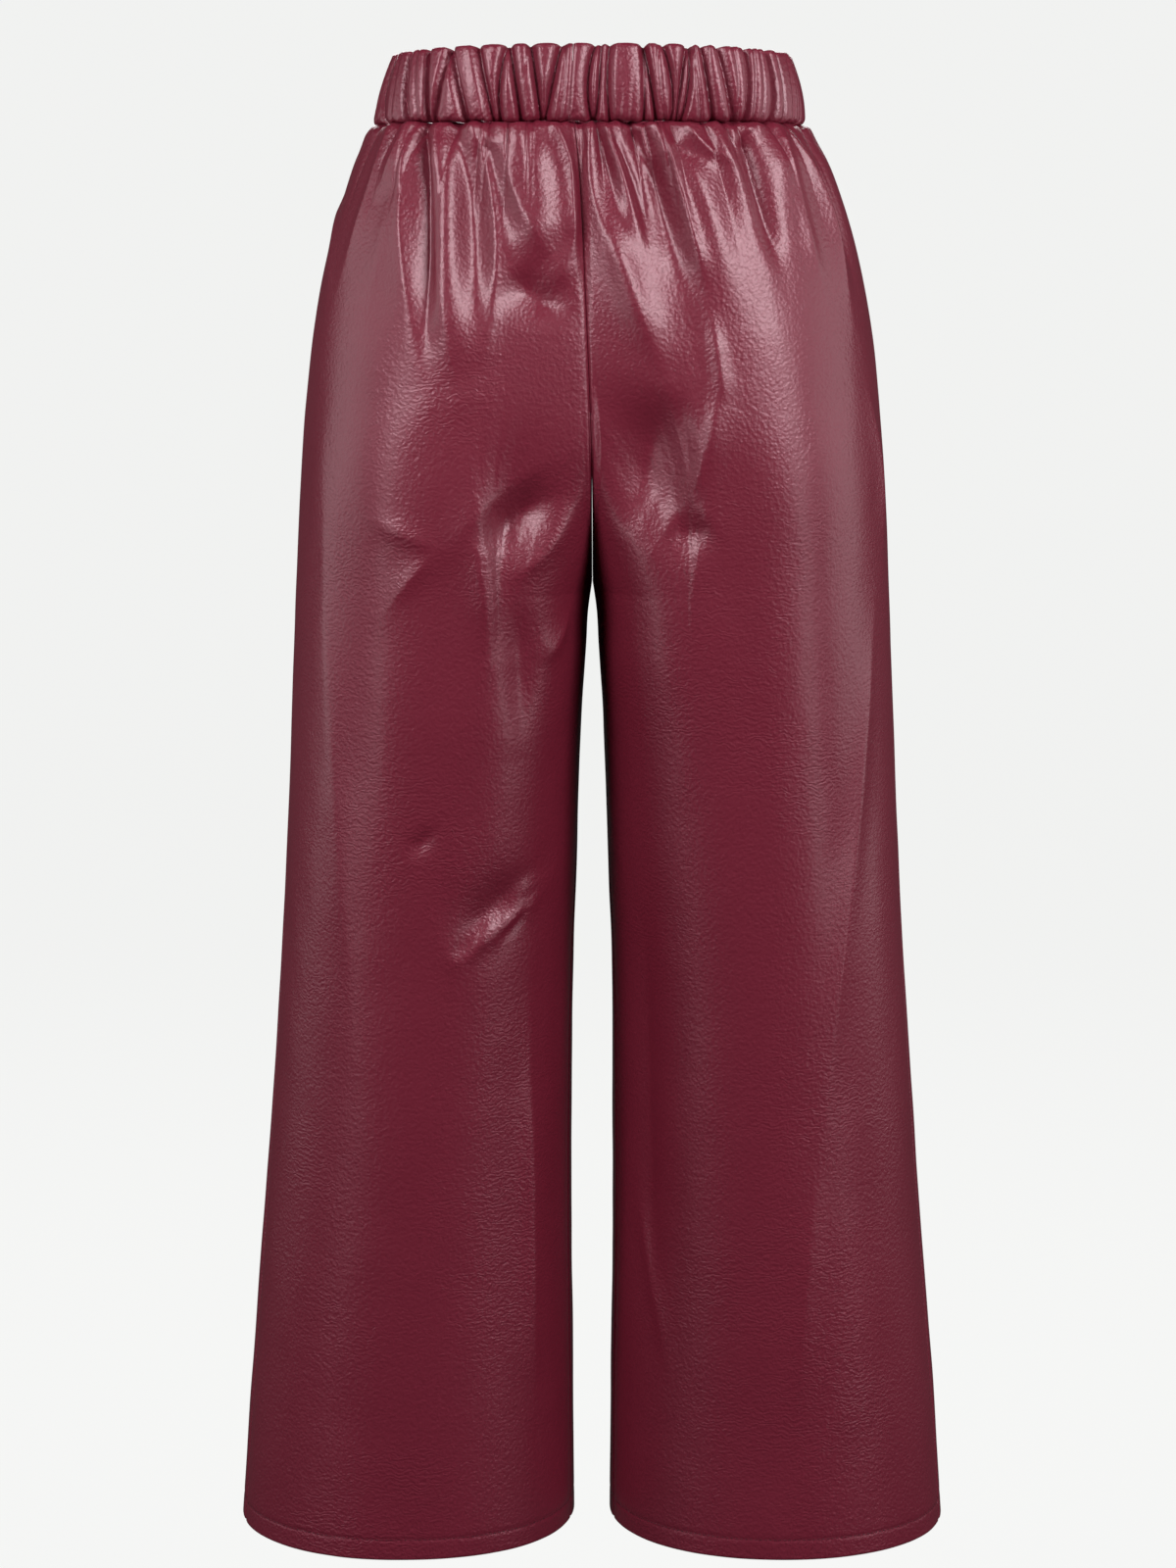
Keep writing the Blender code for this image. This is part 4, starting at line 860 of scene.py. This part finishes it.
# %% [markdown]
# ## The waistband
#
# The casing is a folded strip, so its wall has an outer face, a soft roll at the top edge and an inner face,
# which leans in at the seam and covers the panels' edges. The grid runs along the strip from its joint at the
# centre back all the way round. A puff is an arc between two deep valleys. Each valley then adds a narrow
# groove with a small lip on either side, and tiny tucks pinch the seam.

# %% Relief of the waistband
BAND_FLOOR = -3.8 * MM       # height of the ring at the foot of the puffs
GROOVE_PART = 0.72           # share of a valley's depth that is a groove, besides the puffs' own hollow
GROOVE_CROWN = 0.35 * MM
GROOVE_WIDTH = 0.8           # share of the valley's width
SEAM_PINCH = 0.5             # valleys are deeper at the seam by this, and it fades up the band
SEAM_PINCH_SHARE = 0.12
LIP_HEIGHT = 0.10            # the cloth stands up beside a valley by this share of the depth
LIP_PLACE = 2.1              # as many of the valley's widths from its middle
LIP_CROWN = 0.4 * MM
LIP_WIDTH = 0.9 * MM
BAND_TUCK = 1.1 * MM
BAND_TUCK_CROWN = 0.35 * MM
BAND_TUCK_WIDTH = 0.8 * MM
BAND_TUCK_REACH = (0.05, 0.22)  # share of the band's height over which a tiny tuck fades
BAND_TUCK_STEP = (2.6, 5.5)  # mm from one to the next


def band_relief(place, share):
    """Height of the gathers at shares of the ring's length, at one share of the band's height."""
    chance = random.Random(5)
    length = ring_length(share)
    lengths = [ring_length(s) / CM for s in (1.0, 0.5, 0.0)]
    height = np.full(place.shape, BAND_FLOOR)
    deep_at = []
    shown = {0: 1.0, 1: max(0.0, 1 - 1.6 * share), -1: max(0.0, 2 * share - 1)}
    pinch = 1 + SEAM_PINCH * math.exp(-share / SEAM_PINCH_SHARE)
    for valley in VALLEYS:
        top, middle, seam = (v / round_cm for v, round_cm in zip(valley[:3], lengths))
        at = (seam * (1 - share) * (1 - 2 * share) + middle * 4 * share * (1 - share)
              + top * share * (2 * share - 1))
        gap = ((place - at + 0.5) % 1 - 0.5) * length
        depth = valley.depth * MM * shown[valley.low]
        groove = tent(gap, GROOVE_CROWN, GROOVE_WIDTH * valley.width * MM)
        height -= pinch * depth * GROOVE_PART * groove
        if valley.depth >= DEEP_VALLEY:
            deep_at.append(at)
        for lip_side in (-1, 1):
            lip = gap + lip_side * LIP_PLACE * valley.width * chance.uniform(0.7, 1.3) * MM
            height += LIP_HEIGHT * chance.uniform(0.3, 1.6) * depth * tent(lip, LIP_CROWN, LIP_WIDTH)
    at = 0.0
    while at < 1.0:
        groove = tent(((place - at + 0.5) % 1 - 0.5) * length, BAND_TUCK_CROWN, BAND_TUCK_WIDTH)
        depth = BAND_TUCK * chance.uniform(0.4, 1.3)
        height -= depth * groove * math.exp(-share / chance.uniform(*BAND_TUCK_REACH))
        at += chance.uniform(*BAND_TUCK_STEP) * MM / length
    return height + puffs(place, deep_at, length)[0]


quick_look = band_relief(np.linspace(0, 1, 2000), 0.5)
print("gathers reach from", round(quick_look.min() / MM, 1), "to", round(quick_look.max() / MM, 1), "mm")

# %% [markdown]
# The sides of a waistband ride a little lower than its middle, and the casing bulges between its edges. Both
# are added here, with a small roll where the top edge turns over the elastic. Puffs raise that edge a little
# and valleys dip it.

# %% Build the waistband
BAND_COLUMNS = 960
CASING = 3.0 * MM            # the folded casing with the elastic in it
TOP_RADIUS = CASING / 2
BULGE = 2.2 * MM             # the casing is rounded outwards by this between its edges
BULGE_SHAPE = 0.8
EDGE_ROLL = 2.8 * MM         # the lower edge rolls in by this, over this height
EDGE_ROLL_REACH = 1.5 * MM
INNER_GATHER = 0.55          # the inner face has this share of the gathers
TOP_EASE = 0.15              # share of the gathers lost for each radian over the top edge
SEAM_FLARE = 8.5 * MM        # the inner face leans in by this at the seam, over the panels' edges
FLARE_SHAPE = 6
SIDE_DROP = 3.5 * MM         # the top edge is this much lower at the sides
JOINT_GAP = 0.2 * MM
JOINT_DIP = 1.3 * MM         # the cloth dips into the joint by this, over this distance
JOINT_DIP_REACH = 1.2 * MM
TOP_PART = 0.2               # in this upper share of the band a puff's height also lifts the cloth
LIFT = 0.45
LIFT_LIMIT = 1.5 * MM
AHEAD = 0.001                # share of the ring over which its direction is measured
LOWER_STATIONS = 6
UPPER_STATIONS = 19
TOP_STATIONS = 8
INNER_STATIONS = 12
LOWER_SHARE = 0.12           # the stations are closer together below this share of the height
Station = namedtuple("Station", "share inset gather")


def bulge(share):
    return BULGE * math.sin(math.pi * share) ** BULGE_SHAPE


def band_stations():
    """The casing's profile from the seam, up the outer face, over the top and down inside."""
    stations = []
    height = WAISTBAND_TOP - WAISTBAND_SEAM
    top_share = 1 - TOP_RADIUS / height
    lower = np.linspace(0, LOWER_SHARE, LOWER_STATIONS)[:-1]
    for share in np.concatenate([lower, np.linspace(LOWER_SHARE, top_share, UPPER_STATIONS)]):
        roll = EDGE_ROLL * math.exp(-share * height / EDGE_ROLL_REACH)
        stations.append(Station(share, roll - bulge(share), 1.0))
    for turn in np.linspace(0, math.pi, TOP_STATIONS)[1:-1]:
        share = top_share + TOP_RADIUS * math.sin(turn) / height
        stations.append(Station(share, TOP_RADIUS * (1 - math.cos(turn)), 1 - TOP_EASE * turn))
    for share in np.linspace(top_share, 0.0, INNER_STATIONS):
        flare = SEAM_FLARE * (1 - share) ** FLARE_SHAPE
        stations.append(Station(share, CASING + flare - bulge(share), INNER_GATHER))
    return stations


def make_waistband():
    """The closed casing, from its joint all the way round."""
    joint = BAND_JOINT / seam_round
    clear = JOINT_GAP / 2 / (seam_round * CM)
    place = np.linspace(joint + clear, joint + 1 - clear, BAND_COLUMNS)
    bottom = WAISTBAND_SEAM + SEAM_GAP / 2
    height = WAISTBAND_TOP - bottom
    from_joint = np.minimum(place - joint, joint + 1 - place) * seam_round * CM
    rows = []
    for station in band_stations():
        line, along = band_ring(station.share)
        behind, spot, ahead = (
            np.column_stack([np.interp((place + step) % 1 * along[-1], along, line[:, i]) for i in (0, 1)])
            for step in (-AHEAD, 0, AHEAD))
        run = ahead - behind
        out = np.column_stack([run[:, 1], -run[:, 0]]) / np.hypot(*run.T)[:, None]
        gather = band_relief(place, station.share) * station.gather
        gather -= JOINT_DIP * np.exp(-from_joint / JOINT_DIP_REACH)
        drop = SIDE_DROP * (spot[:, 0] / (BAND_AT_TOP.half_width * CM)) ** 2 * station.share
        near_top = max(0.0, station.share - (1 - TOP_PART)) / TOP_PART
        lift = LIFT * np.minimum(gather, LIFT_LIMIT) * near_top
        z = bottom + height * station.share - drop + lift
        rows.append(settle(np.column_stack([spot + out * (gather - station.inset)[:, None], z])))
    grid = np.array(rows)
    middle = BAND_COLUMNS // 2
    look_at = (LOWER_STATIONS + UPPER_STATIONS) // 2
    outward = grid[look_at, middle] - grid[-look_at, middle]
    return grid_piece("gathered_waistband", grid, outward, look_at, closed=True)


waistband = make_waistband()
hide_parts("waistband")
print(waistband.name, len(waistband.data.polygons), "faces")

# %% [markdown]
# ## The hem's stitches
#
# The turned hem is held by one row of machine stitches in matching thread, one about every 3 mm. Each stitch
# is a short thread that dips into the cloth at both ends. All stitches of a leg are joined in one mesh,
# because hundreds of separate objects would slow the scene down and nobody would pick one out.

# %% Hem stitches
STITCH = 2.5 * MM
STITCH_STEP = 3.2 * MM
THREAD_RADIUS = 0.22 * MM
THREAD_SIDES = 4
# a stitch from end to end: place as a share of its length, size, and height over the cloth in mm
ThreadRing = namedtuple("ThreadRing", "place size lift")
THREAD_RINGS = [ThreadRing(-0.5, 0.35, -0.25), ThreadRing(-0.3, 1.0, 0.12), ThreadRing(0.3, 1.0, 0.12),
                ThreadRing(0.5, 0.35, -0.25)]
STITCH_FACES = (len(THREAD_RINGS) - 1) * THREAD_SIDES + 2


def sew_hem(side):
    """All stitches of one leg's hem, back and front."""
    back, front = panels[side, "back"], panels[side, "front"]
    points = np.concatenate([back.stitch_line, front.stitch_line])
    outs = np.concatenate([back.stitch_out, front.stitch_out])
    along = np.concatenate([[0.0], np.cumsum(np.linalg.norm(np.diff(points, axis=0), axis=1))])
    vertices, faces = [], []
    for middle in np.arange(STITCH, along[-1] - STITCH, STITCH_STEP):
        out = np.array([np.interp(middle, along, outs[:, i]) for i in range(3)])
        first = len(vertices)
        for ring in THREAD_RINGS:
            at = middle + ring.place * STITCH
            spot = np.array([np.interp(at, along, points[:, i]) for i in range(3)])
            for turn in range(THREAD_SIDES):
                angle = 2 * math.pi * (turn + 0.5) / THREAD_SIDES
                outwards = out * (math.cos(angle) * THREAD_RADIUS * ring.size + ring.lift * MM)
                upwards = np.array((0, 0, math.sin(angle) * THREAD_RADIUS * ring.size))
                vertices.append(tuple(spot + (outwards + upwards)))
        last = first + (len(THREAD_RINGS) - 1) * THREAD_SIDES
        for ring_start in range(first, last, THREAD_SIDES):
            for turn in range(THREAD_SIDES):
                a, b = ring_start + turn, ring_start + (turn + 1) % THREAD_SIDES
                faces.append((a, b, b + THREAD_SIDES, a + THREAD_SIDES))
        faces.append(tuple(range(first + THREAD_SIDES - 1, first - 1, -1)))
        faces.append(tuple(range(last, last + THREAD_SIDES)))
    return mesh_piece(f"hem_thread_{SIDE[side]}", vertices, faces)


threads = [sew_hem(side) for side in SIDE]
print("stitches on a hem:", len(threads[0].data.polygons) // STITCH_FACES)

# %% [markdown]
# ## A small language for shader maths
#
# Shader nodes are sums written as boxes. A class that wraps a socket lets us write the sum instead: an
# expression such as 1 - mask * 0.3 adds the Math nodes by itself, and one method adds any other node. Colours
# don't go through Math nodes, which would turn them grey, so a second method blends two of them.

# %% Shader maths


class Wire:
    """A value, colour or vector that comes out of a node."""

    def __init__(self, finish, socket):
        self.finish = finish
        self.socket = socket

    def maths(self, operation, first, second):
        return self.finish.node("ShaderNodeMath", {"operation": operation}, first, second)

    def __add__(self, other):
        return self.maths("ADD", self, other)

    def __radd__(self, other):
        return self.maths("ADD", other, self)

    def __sub__(self, other):
        return self.maths("SUBTRACT", self, other)

    def __rsub__(self, other):
        return self.maths("SUBTRACT", other, self)

    def __mul__(self, other):
        return self.maths("MULTIPLY", self, other)

    def __rmul__(self, other):
        return self.maths("MULTIPLY", other, self)


class Finish:
    """A material, with methods that add nodes to it and feed its shader."""

    def __init__(self, name, **constants):
        self.material = bpy.data.materials.new(name)
        self.material.use_nodes = True
        self.tree = self.material.node_tree
        self.shader = self.tree.nodes["Principled BSDF"]
        for socket, value in constants.items():
            self.shader.inputs[socket.replace("_", " ")].default_value = value

    def node(self, kind, settings, *inputs, output=0, **named):
        """Adds a node: its settings first, then values or wires for its sockets."""
        node = self.tree.nodes.new(kind)
        for name, value in settings.items():
            setattr(node, name, value)
        for key, value in list(enumerate(inputs)) + [(k.replace("_", " "), v) for k, v in named.items()]:
            if isinstance(value, Wire):
                self.tree.links.new(value.socket, node.inputs[key])
            elif value is not None:
                node.inputs[key].default_value = value
        return Wire(self, node.outputs[output])

    def blend(self, share, first, second):
        """A colour between two others. A Mix node has five sockets for numbers before those for colours."""
        numbers = (None,) * 5
        return self.node("ShaderNodeMix", {"data_type": "RGBA"}, share, *numbers, first, second, output=2)

    def feed(self, **wires):
        """Links wires to sockets of the shader."""
        for socket, wire in wires.items():
            self.tree.links.new(wire.socket, self.shader.inputs[socket.replace("_", " ")])


print("shader helpers are ready")

# %% [markdown]
# ## Burgundy faux leather
#
# The cloth is a knit with a skin of coloured plastic, pressed with a leather grain and finished with a thin
# satin lacquer. A deep red base with a sharper coat over it gives the two highlights that the real skin has:
# a broad soft one and a narrow bright one. Both are tinted a little, because coloured lacquer tints what it
# reflects. The grain has three parts. Pebbles of about 2 mm cover everything, finer noise breaks up their
# tops, and wavy crinkles come up in patches from the seat down, where the cloth bends most.

# %% Leather finish
DEEP_RED = (0.142, 0.0110, 0.026, 1)
BRIGHT_RED = (0.192, 0.0155, 0.036, 1)
CRINKLES_FROM = -10 * CM     # the crinkles come up between these heights
CRINKLES_FULL = -19 * CM


def leather_finish():
    finish = Finish("burgundy faux leather", Coat_Roughness=0.22, Coat_IOR=1.45, Specular_IOR_Level=0.8,
                    Specular_Tint=(1.0, 0.70, 0.78, 1), Coat_Tint=(1.0, 0.93, 0.94, 1))
    place = finish.node("ShaderNodeTexCoord", {}, output="Object")
    clouds = finish.node("ShaderNodeTexNoise", {}, Vector=place, Scale=9.0, Detail=3.0)
    dust = finish.node("ShaderNodeTexNoise", {}, Vector=place, Scale=260.0, Detail=2.0)
    bumpy = finish.node("ShaderNodeTexNoise", {}, Vector=place, Scale=400.0, Detail=3.0, Roughness=0.6)
    pebbles = finish.node("ShaderNodeTexVoronoi", {"feature": "SMOOTH_F1"}, Vector=place, Scale=480.0)
    crinkles = finish.node("ShaderNodeTexWave", {"bands_direction": "Z"}, Vector=place, Scale=100.0,
                           Distortion=14.0, Detail=2.0, Detail_Scale=1.1, Detail_Roughness=0.6)
    patches = finish.node("ShaderNodeTexNoise", {}, Vector=place, Scale=11.0, Detail=2.0)
    patches = finish.node("ShaderNodeMapRange", {"interpolation_type": "SMOOTHSTEP"}, Value=patches,
                          From_Min=0.42, From_Max=0.66, To_Min=0.12)
    height = finish.node("ShaderNodeSeparateXYZ", {}, place, output="Z")
    worn = finish.node("ShaderNodeMapRange", {"interpolation_type": "SMOOTHSTEP"}, Value=height,
                       From_Min=CRINKLES_FROM, From_Max=CRINKLES_FULL)
    grain = bumpy * 1.2 - pebbles * 0.9 + crinkles * patches * worn * 0.42 + dust * 0.15
    mottled = finish.blend(clouds * 0.7 + dust * 0.3, DEEP_RED, BRIGHT_RED)
    bump = finish.node("ShaderNodeBump", {}, Strength=0.4, Distance=0.8 * MM, Height=grain)
    finish.feed(Base_Color=mottled, Roughness=0.31 + clouds * 0.06 + dust * 0.06,
                Coat_Weight=0.18 + clouds * 0.10, Normal=bump)
    return finish.material


leather = leather_finish()
print(leather.name, "has", len(leather.node_tree.nodes), "nodes")

# %% [markdown]
# ## The knit backing and the thread
#
# Inside, the plastic skin shows its backing: a thin brushed knit, dyed to match and quite matt. Its loops run
# in fine columns. The thread is polyester, a shade darker than the skin and twisted from two yarns.

# %% Backing and thread
KNIT_SHADES = ((0.055, 0.010, 0.016, 1), (0.115, 0.024, 0.036, 1))
THREAD_SHADES = ((0.045, 0.007, 0.013, 1), (0.085, 0.013, 0.023, 1))


def backing_finish():
    finish = Finish("burgundy knit backing", Sheen_Weight=0.3, Sheen_Roughness=0.5)
    place = finish.node("ShaderNodeTexCoord", {}, output="Object")
    columns = finish.node("ShaderNodeTexWave", {"bands_direction": "DIAGONAL"}, Vector=place, Scale=330.0,
                          Distortion=1.5)
    rows = finish.node("ShaderNodeTexWave", {"bands_direction": "Z"}, Vector=place, Scale=260.0,
                       Distortion=2.0)
    fuzz = finish.node("ShaderNodeTexNoise", {}, Vector=place, Scale=700.0, Detail=3.0)
    knit = columns * rows * 0.7 + fuzz * 0.5
    bump = finish.node("ShaderNodeBump", {}, Strength=0.6, Distance=0.4 * MM, Height=knit)
    finish.feed(Base_Color=finish.blend(knit, *KNIT_SHADES), Roughness=0.8 + fuzz * 0.15, Normal=bump)
    return finish.material


def thread_finish():
    finish = Finish("burgundy thread", Specular_IOR_Level=0.4)
    place = finish.node("ShaderNodeTexCoord", {}, output="Object")
    twist = finish.node("ShaderNodeTexWave", {"bands_direction": "DIAGONAL"}, Vector=place, Scale=900.0)
    bump = finish.node("ShaderNodeBump", {}, Strength=0.5, Distance=0.2 * MM, Height=twist)
    finish.feed(Base_Color=finish.blend(twist, *THREAD_SHADES), Roughness=0.5 + twist * 0.1, Normal=bump)
    return finish.material


backing, thread = backing_finish(), thread_finish()
print("finishes:", [m.name for m in (leather, backing, thread)])

# %% [markdown]
# ## Putting the finishes on
#
# Each panel has the skin outside and the backing inside. All pieces ride on the rigid model's one body. The
# panels are cut wider at the hem than at the hip, and the waistband strip is cut to twice its height, because
# it is folded over the elastic.

layers = [layer for panel in panels.values() for layer in (panel.skin, panel.knit)]
skins, knits = layers[::2], layers[1::2]
for finish, pieces in ((leather, skins + [waistband]), (backing, knits), (thread, threads)):
    for piece in pieces:
        piece.data.materials.append(finish)
for piece in [waistband] + threads + layers:
    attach(piece, "root")
print("declared", len(layers) + 1, "layers of cloth")

# %% [markdown]
# ## Floor, backdrop and lights
#
# The picture has a plain pale ground with no horizon. A large bowl does that: a flat floor that curves up
# into a round wall, bright enough to be nearly white and hidden from the cloth, so that it casts no light of
# its own.

# %% Stage
FLOOR = -1.35
FLOOR_RADIUS = 5.5
WALL_RADIUS = 8.0
WALL_TOP = 7.0
CURVE_RINGS = 10
BOWL_TURNS = 64
GROUND_GREY = (0.06, 0.06, 0.06, 1)
GROUND_GLOW = (0.90, 0.905, 0.895, 1)


def make_bowl():
    profile = [(0.0, FLOOR), (FLOOR_RADIUS, FLOOR)]
    curve = WALL_RADIUS - FLOOR_RADIUS
    for turn in np.linspace(0, math.pi / 2, CURVE_RINGS)[1:]:
        profile.append((FLOOR_RADIUS + curve * math.sin(turn), FLOOR + curve * (1 - math.cos(turn))))
    profile.append((WALL_RADIUS, WALL_TOP))
    turns = np.linspace(0, 2 * math.pi, BOWL_TURNS + 1)
    grid = np.array([[(r * math.cos(t), r * math.sin(t), z) for t in turns] for r, z in profile])
    bowl = grid_piece("pale_bowl", grid, np.array((0, 0, 1.0)))
    bowl.visible_diffuse = bowl.visible_glossy = False
    bowl.visible_transmission = bowl.visible_shadow = False
    finish = Finish("pale ground", Roughness=1.0, Specular_IOR_Level=0.0, Base_Color=GROUND_GREY,
                    Emission_Color=GROUND_GLOW, Emission_Strength=0.97)
    bowl.data.materials.append(finish.material)


make_bowl()
print("bowl is", 2 * WALL_RADIUS, "m across")

# %% [markdown]
# A shiny cloth shows the lamps that it reflects, so each soft box is there for one sort of highlight. Two
# large boxes stand high in front, at the left and the right, and light the folds on the hips. Two low strips
# beside them draw the long streaks on the legs, and a box at either side lifts the outer edges. A weak fill
# and a dim sky keep the shadows from going black. The box behind lights the front of the trousers.
#
# The watts follow from how bright a box's face should look, so that a box can be made larger without making
# it brighter.

# %% Soft boxes
# azimuth in degrees from the camera's side; aim: the height that it faces; brightness of its face
SoftBox = namedtuple("SoftBox", "name azimuth distance height aim width tall brightness")
SOFT_BOXES = [
    SoftBox("left key", -44, 2.3, 1.1, -0.15, 1.0, 1.3, 10.0),
    SoftBox("right key", 41, 2.3, 1.1, -0.15, 1.0, 1.3, 11.8),
    SoftBox("left strip", -48, 2.2, -0.3, -0.5, 0.5, 1.7, 2.0),
    SoftBox("right strip", 52, 2.2, -0.3, -0.5, 0.5, 1.7, 2.6),
    SoftBox("left side", -94, 2.2, 0.0, -0.35, 1.5, 1.8, 1.3),
    SoftBox("right side", 94, 2.2, 0.0, -0.35, 1.5, 1.8, 1.4),
    SoftBox("front fill", 0, 4.5, 0.6, -0.3, 4.0, 4.0, 0.08),
    SoftBox("back box", 180, 2.6, 1.0, -0.3, 2.0, 1.2, 4.5),
]
SKY = 0.035


def make_soft_box(box):
    """An area light that faces the middle of the trousers."""
    data = bpy.data.lights.new(box.name, "AREA")
    data.shape = "RECTANGLE"
    data.size, data.size_y = box.width, box.tall
    data.energy = box.brightness * math.pi * box.width * box.tall
    light = bpy.data.objects.new(box.name, data)
    turn = math.radians(box.azimuth)
    light.location = (math.sin(turn) * box.distance, -math.cos(turn) * box.distance, box.height)
    aim = Vector((0, 0, box.aim)) - light.location
    light.rotation_euler = aim.to_track_quat("-Z", "Y").to_euler()
    light.visible_camera = False
    bpy.context.scene.collection.objects.link(light)


for box in SOFT_BOXES:
    make_soft_box(box)
world = bpy.data.worlds.new("soft sky")
world.use_nodes = True
sky = world.node_tree.nodes["Background"]
sky.inputs["Color"].default_value = (1, 1, 1, 1)
sky.inputs["Strength"].default_value = SKY
bpy.context.scene.world = world
bpy.context.scene.view_settings.view_transform = "Standard"
print("lights:", sum(o.type == "LIGHT" for o in bpy.context.scene.objects))

# %% [markdown]
# ## Camera
#
# The picture was taken from about waist height with a long lens, looking slightly down, so the hems curve and
# the inside of the far hem stays hidden.

# %% Camera
LENS = 80                    # mm
SENSOR = 36
CAMERA_PLACE = (-0.0029, -2.3, -0.0877)
LOOKS_DOWN = 9.108           # degrees
camera_data = bpy.data.cameras.new("camera")
camera_data.lens = LENS
camera_data.sensor_width = SENSOR
camera = bpy.data.objects.new("camera", camera_data)
camera.location = CAMERA_PLACE
camera.rotation_euler = (math.radians(90 - LOOKS_DOWN), 0, 0)
bpy.context.scene.collection.objects.link(camera)
bpy.context.scene.camera = camera
